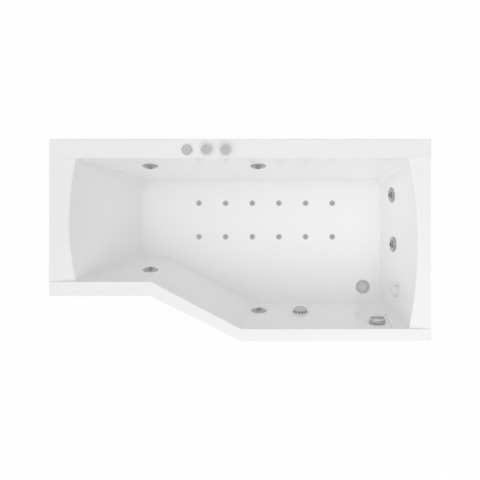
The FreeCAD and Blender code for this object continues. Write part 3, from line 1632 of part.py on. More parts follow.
# Plate, pump and blower under the sloped head end.
plate = block(
    "equipment_plate", size.plate_length, size.plate_width, size.plate,
    x=head_x + size.plate_head_gap, y=half_width - size.plate_setback - size.plate_width, z=board_under,
)
node("equipment_plate", plate)
pump_place = Placement(Vector(pump_x.value, pump_front.value, pump_axis_level.value), Rotation(UP, ACROSS))
cavity = size.volute - size.volute_wall
back_wall = size.volute_length - size.volute_wall
volute_turn = turned("volute_turn", [
    (size.suction_pipe + gap, -size.pump_socket_length),
    (size.pump_socket, -size.pump_socket_length),
    (size.pump_socket, ZERO),
    (size.volute, ZERO),
    (size.volute, size.volute_length),
    (size.shaft_hole, size.volute_length),
    (size.shaft_hole, back_wall),
    (cavity, back_wall),
    (cavity, size.volute_wall),
    (size.pump_eye, size.volute_wall),
    (size.pump_eye, ZERO),
    (size.suction_pipe + gap, ZERO),
])
UPWARD = pump_place.Rotation.inverted().multVec(UP)
middle = UP * (size.volute_length * HALF_SHARE).value
stub_start = (size.volute - size.volute_wall * HALF_SHARE).value
stub_end = (size.volute + size.riser_socket_length).value
riser_seat = (size.volute + gap).value
volute = cut(
    "pump_volute_pattern",
    fuse("volute_fused", volute_turn, solid_feature("riser_stub", Part.makeCylinder(
        size.riser.value, stub_end - stub_start, middle + UPWARD * stub_start, UPWARD))),
    solid_feature("riser_stub_bore", Part.makeCylinder(
        (size.riser_pipe + gap).value, stub_end, middle + UPWARD * (riser_seat - gap.value), UPWARD)),
    solid_feature("riser_way", Part.makeCylinder(
        (size.riser_pipe - size.pipe_wall).value, stub_end,
        middle + UPWARD * (cavity - size.volute_wall).value, UPWARD)),
)
motor_start = size.volute_length
motor_end = size.volute_length + size.motor_length
motor_room = size.motor - size.motor_wall
motor_turn = turned("motor_turn", [
    (size.shaft_hole, motor_start),
    (size.motor, motor_start),
    (size.motor, motor_end - size.motor_end_edge),
    (size.motor - size.motor_end_edge, motor_end),
    (ZERO, motor_end),
    (ZERO, motor_end - size.motor_wall),
    (motor_room, motor_end - size.motor_wall - size.motor_end_edge),
    (motor_room, motor_start + size.motor_wall),
    (size.shaft_hole, motor_start + size.motor_wall),
])
fin = block(
    "motor_fin", size.fin_height * 2, size.fin_width, size.fin_length,
    x=size.motor - size.fin_height, y=-size.fin_width * HALF_SHARE, z=motor_start + size.fin_start,
)
document.recompute()
fins = []
for step in range(MOTOR_FINS):
    turned_fin = fin.Shape.copy()
    turned_fin.rotate(Vector(0, 0, 0), UP, FULL_TURN * (step + HALF_SHARE) / MOTOR_FINS)
    fins.append(turned_fin)
motor_skin = cylinder("motor_clear", motor_room, size.motor_length - size.motor_wall * 2,
                      z=motor_start + size.motor_wall)
fin_ring = cut("motor_fins", solid_feature("motor_fin_set", Part.makeCompound(fins)), motor_skin)
motor = fuse("pump_motor_pattern", motor_turn, fin_ring)
rotor = turned("pump_rotor_pattern", [
    (ZERO, size.impeller_start),
    (size.impeller, size.impeller_start),
    (size.impeller, size.impeller_start + size.impeller_thickness),
    (size.shaft, size.impeller_start + size.impeller_thickness),
    (size.shaft, size.armature_start),
    (size.armature, size.armature_start),
    (size.armature, size.armature_start + size.armature_length),
    (size.shaft, size.armature_start + size.armature_length),
    (size.shaft, size.pump_shaft_end),
    (ZERO, size.pump_shaft_end),
])
cradle = cut(
    "pump_cradle_blank",
    block("cradle_block", size.cradle_width, size.cradle_length, size.pump_rise - size.motor * HALF_SHARE,
          x=pump_x - size.cradle_width * HALF_SHARE, y=pump_front + size.cradle_start, z=plate_top),
    cylinder("cradle_bed", size.motor + size.fin_height + gap, size.motor_length,
             x=pump_x, y=pump_front + motor_start, z=pump_axis_level, axis=ACROSS),
)
document.recompute()
node("pump_volute", volute, pump_place)
node("pump_motor", motor, pump_place)
node("pump_rotor", rotor, pump_place)
node("pump_cradle", cradle)

blower_room = size.blower - size.blower_wall
blower_turn = turned("blower_turn", [
    (ZERO, ZERO),
    (size.blower_flange, ZERO),
    (size.blower_flange, size.blower_wall),
    (size.blower, size.blower_wall),
    (size.blower, size.blower_height),
    (size.blower_inlet, size.blower_height),
    (size.blower_inlet, size.blower_height - size.blower_wall),
    (blower_room, size.blower_height - size.blower_wall),
    (blower_room, size.blower_wall),
    (size.blower_post, size.blower_wall),
    (size.blower_post, size.blower_post_height),
    (ZERO, size.blower_post_height),
])
blower = cut(
    "blower_pattern",
    fuse("blower_fused", blower_turn,
         cylinder("blower_outlet", size.floor_socket, size.blower_outlet_reach - blower_room,
                  x=blower_room, z=size.blower_outlet_level, axis=ALONG)),
    cylinder("blower_outlet_bore", size.floor_pipe + gap, size.blower_outlet_reach,
             x=size.blower_outlet_reach - size.blower_outlet_seat - gap,
             z=size.blower_outlet_level, axis=ALONG),
    cylinder("blower_outlet_way", size.floor_pipe - size.pipe_wall, size.blower_outlet_reach,
             x=blower_room - size.blower_wall, z=size.blower_outlet_level, axis=ALONG),
)
fan_in = size.fan - size.fan_rim
fan = turned("blower_fan_pattern", [
    (size.fan_bore, size.fan_bottom),
    (size.fan, size.fan_bottom),
    (size.fan, size.fan_bottom + size.fan_height),
    (fan_in, size.fan_bottom + size.fan_height),
    (fan_in, size.fan_bottom + size.fan_rim),
    (size.fan_hub, size.fan_bottom + size.fan_rim),
    (size.fan_hub, size.fan_bottom + size.fan_height),
    (ZERO, size.fan_bottom + size.fan_height),
    (ZERO, size.blower_post_height + gap),
    (size.fan_bore, size.blower_post_height + gap),
])
document.recompute()
blower_place = Placement(Vector(pump_x.value, blower_y.value, plate_top.value), Rotation())
node("blower_housing", blower, blower_place)
node("blower_fan", fan, blower_place)

# Control box on the head-end back post, with its lid and cable gland.
box_x = cross_head + size.box_shift - size.box_length * HALF_SHARE
box_y = post_outer - size.post_thickness - size.box_depth
control_box = cut(
    "control_box",
    block("control_box_outer", size.box_length, size.box_depth, size.box_height,
          x=box_x, y=box_y, z=size.box_level),
    block("control_box_room", size.box_length - size.box_wall * 2, size.box_depth - size.box_wall,
          size.box_height - size.box_wall * 2,
          x=box_x + size.box_wall, y=box_y, z=size.box_level + size.box_wall),
    cylinder("control_box_entry", size.gland_thread + gap, size.box_wall,
             x=box_x + size.box_length * HALF_SHARE + size.gland_shift,
             y=box_y + size.box_depth * HALF_SHARE, z=size.box_level),
)
lid = block("control_box_lid", size.box_length, size.box_lid, size.box_height,
            x=box_x, y=box_y - size.box_lid, z=size.box_level)
gland_hexagon = document.addObject("Part::Prism", "gland_hexagon")
bind(gland_hexagon, Circumradius=size.gland_nut, Height=size.gland_nut_height)
placed(gland_hexagon, z=-size.gland_nut_height)
gland = cut(
    "cable_gland_pattern",
    fuse("gland_fused", gland_hexagon, cylinder("gland_thread", size.gland_thread, size.box_wall)),
    cylinder("gland_hole", size.gland_hole, size.gland_nut_height + size.box_wall,
             z=-size.gland_nut_height),
)
document.recompute()
node("control_box", control_box)
node("control_box_lid", lid)
gland_x = (box_x + size.box_length * HALF_SHARE + size.gland_shift).value
gland_y = (box_y + size.box_depth * HALF_SHARE).value
node("cable_gland", gland, Placement(Vector(gland_x, gland_y, size.box_level.value), Rotation()))

# Check every object, then write one file for each named piece.
document.recompute()
for item in document.Objects:
    if "Invalid" in item.State or "Error" in item.State:
        raise RuntimeError(f"{item.Label}: {item.State}")
for item in nodes:
    if item.Shape.isNull() or not item.Shape.isValid() or not item.Shape.Solids:
        raise RuntimeError(f"{item.Label}: bad shape")
os.makedirs("parts", exist_ok=True)
for item in nodes:
    item.Shape.exportStep(f"parts/{item.Label}.step")
print(len(nodes), "pieces written")
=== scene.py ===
# %% [markdown]
# # An asymmetric bath with jets
# The imported model already holds every piece at its real size and place. This lesson dresses it: it
# loads that frame, sets the camera where the picture was taken from, lights a plain white studio,
# writes each finish as a small node graph, and adds the small parts that repeat: screws, threads,
# dark discs of painted shade in the floor jets, and weld beads.

# %% load the frame
import bmesh
import bpy
import json
import math
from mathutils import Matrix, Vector
from mathutils.bvhtree import BVHTree


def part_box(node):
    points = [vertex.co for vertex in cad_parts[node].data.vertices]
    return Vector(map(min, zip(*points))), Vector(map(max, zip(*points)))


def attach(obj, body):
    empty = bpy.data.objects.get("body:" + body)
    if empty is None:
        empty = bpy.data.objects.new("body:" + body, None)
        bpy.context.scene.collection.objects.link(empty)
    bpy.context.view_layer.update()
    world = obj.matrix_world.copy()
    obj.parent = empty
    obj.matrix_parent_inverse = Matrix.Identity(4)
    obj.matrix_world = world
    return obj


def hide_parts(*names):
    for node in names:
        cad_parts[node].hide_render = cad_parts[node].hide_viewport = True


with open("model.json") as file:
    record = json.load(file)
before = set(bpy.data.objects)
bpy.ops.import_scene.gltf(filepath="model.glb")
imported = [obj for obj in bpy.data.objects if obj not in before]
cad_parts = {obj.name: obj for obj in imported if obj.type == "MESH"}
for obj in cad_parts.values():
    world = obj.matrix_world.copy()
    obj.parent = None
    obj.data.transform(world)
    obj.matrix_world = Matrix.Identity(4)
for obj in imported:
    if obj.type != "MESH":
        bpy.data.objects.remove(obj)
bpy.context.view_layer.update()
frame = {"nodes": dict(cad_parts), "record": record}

nodes = frame["nodes"]

# %% [markdown]
# ## Camera
# The picture looks straight down on the bath, with the wall side at the top. The floor of the basin
# looks smaller than the rim by about a tenth, which puts the camera some 3.9 m above the rim. A lens
# that shows 2.13 m at that distance gives the bath its size in the square picture.

# %% camera
MILLIMETRE = 0.001
RIM_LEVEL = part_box("tub_shell")[1].z
CAMERA_ABOVE_RIM = 3.9
CAMERA_SENSOR = 36.0
CAMERA_LENS = 65.8
camera = bpy.data.objects.new("camera", bpy.data.cameras.new("camera"))
camera.data.sensor_width = CAMERA_SENSOR
camera.data.lens = CAMERA_LENS
camera.location = (0, 0, RIM_LEVEL + CAMERA_ABOVE_RIM)
bpy.context.scene.collection.objects.link(camera)
bpy.context.scene.camera = camera
bpy.context.scene.view_settings.view_transform = "Standard"
print("camera", round(camera.location.z, 3), "m up, rim at", round(RIM_LEVEL, 3))

# %% [markdown]
# ## Node graphs as sums
# A finish or a geometry tree is a graph of nodes. Two small classes keep such graphs readable.
# `Link` stands for a node's output and turns Python's signs into Math nodes. `Graph.node` is the one
# place where nodes are made: settings go in first, then the values and links of its sockets.


# %% links
class Link:
    """A node's output. Each sign used on it adds a Math node."""

    def __init__(self, graph, socket):
        self.graph = graph
        self.socket = socket

    def math(self, operation, first, second):
        return self.graph.node("ShaderNodeMath", {"operation": operation}, {0: first, 1: second})

    def __add__(self, other):
        return self.math("ADD", self, other)

    def __radd__(self, other):
        return self.math("ADD", other, self)

    def __sub__(self, other):
        return self.math("SUBTRACT", self, other)

    def __rsub__(self, other):
        return self.math("SUBTRACT", other, self)

    def __mul__(self, other):
        return self.math("MULTIPLY", self, other)

    def __rmul__(self, other):
        return self.math("MULTIPLY", other, self)

    def __truediv__(self, other):
        return self.math("DIVIDE", self, other)


# %% graphs
def find_socket(sockets, key):
    if isinstance(key, int):
        return sockets[key]
    by_identifier = [socket for socket in sockets if socket.identifier == key]
    by_name = [socket for socket in sockets if socket.name == key]
    return (by_identifier + by_name)[0]


class Graph:
    """A node tree with one method that makes its nodes."""

    def __init__(self, tree):
        self.tree = tree

    def node(self, kind, settings=None, sockets=None, output=0):
        made = self.tree.nodes.new(kind)
        for name, value in (settings or {}).items():
            if name == "stops":
                while len(made.color_ramp.elements) < len(value):
                    made.color_ramp.elements.new(1.0)
                for element, (position, colour) in zip(made.color_ramp.elements, value):
                    element.position = position
                    element.color = (*colour, 1.0)
            else:
                setattr(made, name, value)
        for key, value in (sockets or {}).items():
            self.join(value, find_socket(made.inputs, key))
        if not made.outputs:
            return made
        return Link(self, find_socket(made.outputs, output))

    def join(self, value, socket):
        if isinstance(value, list):
            for each in value:
                self.join(each, socket)
        elif isinstance(value, Link):
            self.tree.links.new(value.socket, socket)
        else:
            socket.default_value = value


# %% [markdown]
# ## Finishes
# A finish is a material whose graph ends in the Principled shader. Its patterns read Object
# coordinates, which are metres on the real bath, so a grain has its true size on every piece. A value
# that is the same all over is set on the shader itself, and only what varies comes through nodes.


# %% finishes
class Finish(Graph):
    """A material: a graph that ends in the Principled shader."""

    def __init__(self, name, constants):
        self.material = bpy.data.materials.new(name)
        self.material.use_nodes = True
        super().__init__(self.material.node_tree)
        self.shader = self.tree.nodes["Principled BSDF"]
        for key, value in constants.items():
            self.shader.inputs[key].default_value = value
        self.place = self.node("ShaderNodeTexCoord", output="Object")

    def stretched(self, scale, turn=(0.0, 0.0, 0.0)):
        """The surface's place, stretched and turned."""
        return self.node("ShaderNodeMapping", None, {"Vector": self.place, "Scale": scale, "Rotation": turn})

    def noise(self, scale, detail, place=None):
        at = place or self.place
        return self.node("ShaderNodeTexNoise", None, {"Vector": at, "Scale": scale, "Detail": detail}, "Fac")

    def cells(self, scale, output, feature="F1"):
        sockets = {"Vector": self.place, "Scale": scale}
        return self.node("ShaderNodeTexVoronoi", {"feature": feature}, sockets, output)

    def ramp(self, factor, *stops):
        return self.node("ShaderNodeValToRGB", {"stops": stops}, {"Fac": factor}, "Color")

    def between(self, factor, low, high):
        """0 below low, 1 above high, and a straight rise between them."""
        sockets = {"Value": factor, "From Min": low, "From Max": high}
        return self.node("ShaderNodeMapRange", None, sockets, "Result")

    def mix(self, factor, first, second):
        sockets = {"Factor_Float": factor, "A_Color": first, "B_Color": second}
        return self.node("ShaderNodeMix", {"data_type": "RGBA"}, sockets, "Result_Color")

    def drive(self, name, link):
        self.join(link, self.shader.inputs[name])

    def bump(self, height, distance, strength=1.0):
        sockets = {"Height": height, "Distance": distance, "Strength": strength}
        self.drive("Normal", self.node("ShaderNodeBump", None, sockets, "Normal"))


def rgb(red, green, blue):
    return (red, green, blue, 1.0)


# %% [markdown]
# ## Sky
# A white bath on a white ground shows its form only through soft shade. Most of the light comes from
# all round and grows towards straight above, so that the floor of the basin is as pale as the deck.
# What metal mirrors is another sky, greyer overhead, so that chrome facing up reads as a mid grey. The
# camera itself sees plain white.

# %% sky
WHITE = rgb(1.0, 1.0, 1.0)
OVERHEAD_STRENGTH = 0.84
SKYLINE_STRENGTH = 0.36
MIRRORED_OVERHEAD = 0.72
MIRRORED_SKYLINE = 1.05


def light_paths(graph):
    """Is a ray the camera's own, a mirrored one, or one that went through glass?"""
    names = ("Is Camera Ray", "Is Glossy Ray", "Is Transmission Ray")
    return [graph.node("ShaderNodeLightPath", output=name) for name in names]


world = bpy.data.worlds.new("studio sky")
bpy.context.scene.world = world
world.use_nodes = True
sky = Graph(world.node_tree)
direction = sky.node("ShaderNodeTexCoord", output="Generated")
height = sky.node("ShaderNodeSeparateXYZ", None, {"Vector": direction}, "Z")
raised = sky.node("ShaderNodeClamp", None, {"Value": height}, "Result")
camera_ray, glossy_ray, clear_ray = light_paths(sky)
lit = SKYLINE_STRENGTH + (OVERHEAD_STRENGTH - SKYLINE_STRENGTH) * raised * raised
mirrored = MIRRORED_SKYLINE + (MIRRORED_OVERHEAD - MIRRORED_SKYLINE) * raised
strength = lit * (1.0 - glossy_ray) + mirrored * glossy_ray
seen = camera_ray + clear_ray
strength = strength * (1.0 - seen) + seen
backdrop = sky.node("ShaderNodeBackground", None, {"Color": WHITE, "Strength": strength})
world.node_tree.links.new(backdrop.socket, world.node_tree.nodes["World Output"].inputs["Surface"])
print("sky", SKYLINE_STRENGTH, "at the skyline and", OVERHEAD_STRENGTH, "overhead")

# %% [markdown]
# ## Floor
# The bath stands on one large pale sheet. To the camera, and in chrome, it mostly glows as white as
# the sky behind it. A small share of its own shaded colour is left in, so that the shadow under the
# bath still shows faintly.

# %% floor
FLOOR_SIZE = 60.0
FLOOR_COLOUR = rgb(0.9, 0.9, 0.9)
FLOOR_ROUGHNESS = 0.8
FLOOR_WHITE_SHARE = 0.965
floor_mesh = bpy.data.meshes.new("floor")
reach = FLOOR_SIZE / 2
corners = [(-reach, -reach, 0), (reach, -reach, 0), (reach, reach, 0), (-reach, reach, 0)]
floor_mesh.from_pydata(corners, [], [(0, 1, 2, 3)])
floor = bpy.data.objects.new("floor", floor_mesh)
bpy.context.scene.collection.objects.link(floor)
ground = Finish("white floor", {"Base Color": FLOOR_COLOUR, "Roughness": FLOOR_ROUGHNESS})
camera_ray, glossy_ray, clear_ray = light_paths(ground)
glow = ground.node("ShaderNodeEmission", None, {"Color": WHITE, "Strength": 1.0})
share = (camera_ray + glossy_ray + clear_ray) * FLOOR_WHITE_SHARE
plain = Link(ground, ground.shader.outputs[0])
blend = ground.node("ShaderNodeMixShader", None, {0: share, 1: plain, 2: glow})
ground.tree.links.new(blend.socket, ground.tree.nodes["Material Output"].inputs["Surface"])
floor_mesh.materials.append(ground.material)
print("floor", FLOOR_SIZE, "m square")

# %% [markdown]
# ## Lamps
# Three lamps give the shade its direction. A broad key from the head end lifts the foot wall and the
# back wall, a weak fill from behind lifts the front wall, and a large lamp in front, near enough to
# fade across the bath, lifts the front rim. Chrome mirrors none of them.

# %% lamps
FRONT_PLACE = Vector((0.7, -1.7, 2.6))
FRONT_AIM = Vector((0.1, 0.0, 0.4))
FRONT_POWER = 11.0
FRONT_SIZE = 1.2
KEY_DIRECTION = Vector((-0.64, -0.42, 0.64))
KEY_STRENGTH = 0.9
FILL_DIRECTION = Vector((0.1, 0.75, 0.6))
FILL_STRENGTH = 0.22
SUN_SPREAD = math.radians(80.0)


def lamp(name, kind, energy, direction):
    made = bpy.data.objects.new(name, bpy.data.lights.new(name, kind))
    made.data.energy = energy
    made.rotation_euler = (-direction).to_track_quat("-Z", "Y").to_euler()
    made.visible_glossy = False
    bpy.context.scene.collection.objects.link(made)
    return made


front_lamp = lamp("front lamp", "AREA", FRONT_POWER, FRONT_PLACE - FRONT_AIM)
front_lamp.location = FRONT_PLACE
front_lamp.data.shape = "DISK"
front_lamp.data.size = FRONT_SIZE
key_lamp = lamp("key lamp", "SUN", KEY_STRENGTH, KEY_DIRECTION)
key_lamp.data.angle = SUN_SPREAD
fill_lamp = lamp("fill lamp", "SUN", FILL_STRENGTH, FILL_DIRECTION)
fill_lamp.data.angle = SUN_SPREAD
print("key", KEY_STRENGTH, "fill", FILL_STRENGTH, "front lamp", FRONT_POWER, "W")

# %% [markdown]
# ## Acrylic and its backing
# The shell is one sheet of white acrylic, drawn over a mould and backed with resin and chopped glass
# strands. The wet side is glossy, with the slight waviness of a drawn sheet. The dry side is matt and
# shows the strands lying every way: three stretched noises, turned against each other, give them.

# %% acrylic and fibreglass
STRAND_TURNS = (0.3, 1.4, 2.5)
STRAND_STRETCH = (26.0, 420.0, 420.0)


def white_acrylic():
    finish = Finish("white_acrylic", {"IOR": 1.49, "Coat Weight": 0.25, "Coat Roughness": 0.04})
    slow = finish.noise(scale=3.0, detail=3.0)
    finish.drive("Base Color", finish.mix(slow, rgb(0.925, 0.926, 0.924), rgb(0.94, 0.941, 0.938)))
    finish.drive("Roughness", 0.1 + 0.08 * finish.noise(scale=22.0, detail=4.0))
    finish.bump(finish.noise(scale=55.0, detail=1.0), distance=0.05 * MILLIMETRE, strength=0.6)
    return finish.material


def glass_fibre():
    finish = Finish("glass_fibre", {"IOR": 1.52})
    strands = None
    for turn in STRAND_TURNS:
        place = finish.stretched(STRAND_STRETCH, (turn * 0.4, turn * 0.3, turn))
        lines = finish.between(finish.noise(scale=1.0, detail=1.0, place=place), low=0.52, high=0.66)
        strands = lines if strands is None else strands + lines
    cover = finish.between(strands, low=0.0, high=1.4)
    tint = finish.noise(scale=9.0, detail=3.0)
    resin = finish.mix(tint, rgb(0.5, 0.52, 0.44), rgb(0.66, 0.66, 0.58))
    finish.drive("Base Color", finish.mix(cover, resin, rgb(0.78, 0.78, 0.73)))
    finish.drive("Roughness", 0.38 + 0.3 * cover)
    finish.bump(cover + finish.noise(scale=30.0, detail=3.0), distance=0.4 * MILLIMETRE, strength=0.8)
    return finish.material


ACRYLIC = white_acrylic()
FIBREGLASS = glass_fibre()
print("made", ACRYLIC.name, "and", FIBREGLASS.name)

# %% [markdown]
# ## Chrome
# Fittings in the water are chrome on plastic or brass. Chrome has almost no colour of its own, so
# what tells it from grey paint is a low, slightly uneven roughness, with faint wiping marks. The wall
# jets get a darker copy of the chrome than the drain and the overflow, and the balls in them a darker
# one again: this is painted shade, for fittings that sit on the steep walls and deep in their own bores.

# %% chrome
WIPING_STRETCH = (18.0, 160.0, 90.0)
WIPING_TURN = (0.2, 0.1, 0.6)


def polished_chrome(name, dark, pale):
    finish = Finish(name, {"Metallic": 1.0})
    film = finish.noise(scale=60.0, detail=4.0)
    wiped = finish.noise(scale=1.0, detail=2.0, place=finish.stretched(WIPING_STRETCH, WIPING_TURN))
    finish.drive("Base Color", finish.mix(film, dark, pale))
    finish.drive("Roughness", 0.06 + 0.07 * film + 0.06 * wiped)
    finish.bump(wiped, distance=0.01 * MILLIMETRE, strength=0.4)
    return finish.material


def satin_chrome():
    finish = Finish("satin_chrome", {"Metallic": 1.0})
    film = finish.noise(scale=90.0, detail=3.0)
    finish.drive("Base Color", finish.mix(film, rgb(0.65, 0.653, 0.66), rgb(0.75, 0.752, 0.758)))
    finish.drive("Roughness", 0.2 + 0.1 * film)
    finish.bump(finish.noise(scale=900.0, detail=1.0), distance=0.01 * MILLIMETRE, strength=0.5)
    return finish.material


CHROME = polished_chrome("polished_chrome", rgb(0.6, 0.605, 0.615), rgb(0.7, 0.702, 0.708))
CAP_CHROME = polished_chrome("cap_chrome", rgb(0.52, 0.523, 0.53), rgb(0.62, 0.622, 0.626))
# painted shade: the wall jets and the balls in them get darker copies of the same chrome
JET_CHROME_PAINTED_SHADE = polished_chrome("jet_chrome", rgb(0.42, 0.423, 0.43), rgb(0.54, 0.542, 0.546))
BALL_CHROME_PAINTED_SHADE = polished_chrome("ball_chrome", rgb(0.28, 0.282, 0.288), rgb(0.4, 0.402, 0.406))
SATIN = satin_chrome()
print("made", CHROME.name, CAP_CHROME.name, JET_CHROME_PAINTED_SHADE.name, BALL_CHROME_PAINTED_SHADE.name, SATIN.name)

# %% [markdown]
# ## Lens and rubber
# The lamp has an opal cover: a little light goes through it, and a thin coat gives it gloss. The seals
# under the flanges are black rubber, matt and finely grained, and the dark discs of painted shade in
# the floor jets take the same finish.


# %% lens and rubber
def opal_lens():
    finish = Finish("opal_lens", {"IOR": 1.5, "Transmission Weight": 0.1, "Coat Weight": 0.5})
    cloud = finish.noise(scale=120.0, detail=3.0)
    finish.drive("Base Color", finish.mix(cloud, rgb(0.8, 0.805, 0.81), rgb(0.87, 0.872, 0.875)))
    finish.drive("Roughness", 0.16 + 0.12 * cloud)
    finish.bump(finish.noise(scale=260.0, detail=2.0), distance=0.05 * MILLIMETRE, strength=0.5)
    return finish.material


def black_rubber():
    finish = Finish("black_rubber", {"IOR": 1.5})
    grain = finish.noise(scale=500.0, detail=3.0)
    finish.drive("Base Color", finish.mix(grain, rgb(0.02, 0.02, 0.022), rgb(0.05, 0.05, 0.052)))
    finish.drive("Roughness", 0.6 + 0.2 * grain)
    finish.bump(grain, distance=0.05 * MILLIMETRE)
    return finish.material


LENS = opal_lens()
RUBBER = black_rubber()
print("made", LENS.name, "and", RUBBER.name)

# %% [markdown]
# ## Plastics of the pipework and machines
# Under the shell everything is plain plant: white tees and traps, grey pipe, black pump mouldings.
# Moulded plastic has a fine grain and a little dust. Pipe has the same finish with a coarser grain and
# a smoother face.


# %% plastics
def moulded_plastic(name, dark, pale, roughness, grain_size):
    finish = Finish(name, {"IOR": 1.47})
    dust = finish.noise(scale=11.0, detail=4.0)
    grain = finish.noise(scale=1.0 / grain_size, detail=2.0)
    finish.drive("Base Color", finish.mix(dust, dark, pale))
    finish.drive("Roughness", roughness + 0.14 * dust)
    finish.bump(grain, distance=0.06 * MILLIMETRE, strength=0.6)
    return finish.material


WHITE_PLASTIC = moulded_plastic(
    "white_plastic", rgb(0.76, 0.76, 0.74), rgb(0.83, 0.83, 0.82),
    roughness=0.34, grain_size=1.6 * MILLIMETRE)
PIPE_PLASTIC = moulded_plastic(
    "pipe_plastic", rgb(0.66, 0.67, 0.67), rgb(0.75, 0.755, 0.755),
    roughness=0.3, grain_size=5.0 * MILLIMETRE)
BLACK_PLASTIC = moulded_plastic(
    "black_plastic", rgb(0.022, 0.022, 0.024), rgb(0.06, 0.06, 0.062),
    roughness=0.42, grain_size=0.9 * MILLIMETRE)
BOX_PLASTIC = moulded_plastic(
    "box_plastic", rgb(0.42, 0.43, 0.44), rgb(0.5, 0.51, 0.52),
    roughness=0.45, grain_size=0.8 * MILLIMETRE)
print("made", WHITE_PLASTIC.name, PIPE_PLASTIC.name, BLACK_PLASTIC.name, BOX_PLASTIC.name)

# %% [markdown]
# ## Metals and board of the frame
# The frame is zinc-plated tube: zinc freezes in flat crystals, so the finish is a patchwork of cells
# that differ in tone and gloss. The board under the floor is pressed chips, smaller cells with dark
# gaps. The motor has a thick satin paint and its rotor fine turned lines.

# %% metals and board
ZINC_CELLS = 70.0
CHIP_CELLS = 150.0
TURNED_STRETCH = (40.0, 1600.0, 40.0)


def zinc_plate():
    finish = Finish("zinc_plate", {"Metallic": 1.0})
    crystal = finish.cells(ZINC_CELLS, "Color")
    tone = finish.node("ShaderNodeSeparateColor", None, {"Color": crystal}, "Red")
    grime = finish.noise(scale=6.0, detail=4.0)
    finish.drive("Base Color", finish.mix(tone, rgb(0.46, 0.48, 0.49), rgb(0.62, 0.64, 0.65)))
    finish.drive("Roughness", 0.28 + 0.14 * tone + 0.12 * grime)
    finish.bump(finish.noise(scale=240.0, detail=2.0), distance=0.03 * MILLIMETRE, strength=0.5)
    return finish.material


def chip_board():
    finish = Finish("chip_board", {"IOR": 1.45})
    chip = finish.cells(CHIP_CELLS, "Color")
    edge = finish.cells(CHIP_CELLS, "Distance", "DISTANCE_TO_EDGE")
    tone = finish.node("ShaderNodeSeparateColor", None, {"Color": chip}, "Green")
    wood = finish.ramp(tone, (0.0, (0.3, 0.19, 0.1)), (0.5, (0.5, 0.36, 0.2)), (1.0, (0.66, 0.52, 0.33)))
    gaps = finish.between(edge, low=0.0, high=0.12)
    finish.drive("Base Color", finish.mix(gaps, rgb(0.2, 0.13, 0.07), wood))
    finish.drive("Roughness", 0.7 + 0.2 * finish.noise(scale=80.0, detail=3.0))
    finish.bump(gaps, distance=0.3 * MILLIMETRE, strength=0.7)
    return finish.material


def motor_paint():
    finish = Finish("motor_paint", {"IOR": 1.5, "Coat Weight": 0.3, "Coat Roughness": 0.2})
    patch = finish.noise(scale=25.0, detail=4.0)
    finish.drive("Base Color", finish.mix(patch, rgb(0.06, 0.08, 0.11), rgb(0.1, 0.125, 0.16)))
    finish.drive("Roughness", 0.34 + 0.16 * patch)
    finish.bump(finish.noise(scale=420.0, detail=2.0), distance=0.08 * MILLIMETRE, strength=0.6)
    return finish.material


def turned_steel():
    finish = Finish("turned_steel", {"Metallic": 1.0})
    lines = finish.noise(scale=1.0, detail=1.0, place=finish.stretched(TURNED_STRETCH))
    finish.drive("Base Color", finish.mix(lines, rgb(0.42, 0.42, 0.43), rgb(0.58, 0.58, 0.6)))
    finish.drive("Roughness", 0.22 + 0.18 * lines)
    finish.bump(lines, distance=0.02 * MILLIMETRE, strength=0.6)
    return finish.material


ZINC = zinc_plate()
BOARD = chip_board()
MOTOR = motor_paint()
STEEL = turned_steel()
print("made", ZINC.name, BOARD.name, MOTOR.name, STEEL.name)

# %% [markdown]
# ## Smooth copies of the solids
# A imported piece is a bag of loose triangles, which a glossy finish would show as facets. A copy whose
# corners are welded, with shading that breaks only at real edges and follows the larger faces, looks
# like the moulded thing. Each copy replaces its node and rides on the same body.

# %% welding and shading
WELD = 0.01 * MILLIMETRE
CREASE = math.radians(28.0)


def welded(node):
    mesh = nodes[node].data.copy()
    work = bmesh.new()
    work.from_mesh(mesh)
    bmesh.ops.remove_doubles(work, verts=work.verts, dist=WELD)
    for face in work.faces:
        face.smooth = True
        face.material_index = 0
    for edge in work.edges:
        edge.smooth = len(edge.link_faces) == 2 and edge.calc_face_angle() < CREASE
    work.to_mesh(mesh)
    work.free()
    mesh.materials.clear()
    return mesh


def plain_mesh(holder, modifier):
    """The mesh that a holder's modifier makes. The holder is thrown away."""
    bpy.context.scene.collection.objects.link(holder)
    graph = bpy.context.evaluated_depsgraph_get()
    mesh = bpy.data.meshes.new_from_object(
        holder.evaluated_get(graph), preserve_all_data_layers=True, depsgraph=graph)
    holder.modifiers.remove(modifier)
    bpy.data.objects.remove(holder)
    return mesh


def following_large_faces(mesh):
    """Shading normals weighted by face size, so flats stay flat beside their rounded edges."""
    holder = bpy.data.objects.new("weighting", mesh)
    modifier = holder.modifiers.new("weighted", "WEIGHTED_NORMAL")
    modifier.keep_sharp = True
    return plain_mesh(holder, modifier)


print("edges over", round(math.degrees(CREASE)), "degrees stay sharp")

# %% dressing
record = frame["record"]
slots = {entry["node"]: entry["material_slot"] for entry in record["subparts"]}
body_of = {node: body for body, members in record["behaviour"]["bodies"].items() for node in members}


def show(name, mesh, body):
    piece = bpy.data.objects.new(name, mesh)
    bpy.context.scene.collection.objects.link(piece)
    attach(piece, body)
    return piece


def dress(node, *finishes):
    mesh = following_large_faces(welded(node))
    for finish in finishes:
        mesh.materials.append(finish)
    piece = show(f"{node}_shown", mesh, body_of[node])
    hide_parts(node)
    return piece


print(len(set(slots.values())), "kinds of material to dress")

# %% [markdown]
# ## The shell
# Acrylic is what a bather can see or touch: faces that look up, the outside of the turned-down lip,
# and whatever can be seen from a few places in the basin, such as the sides of the recess and the
# rims of the drilled holes. Every other face is the dry side and gets the fibreglass.

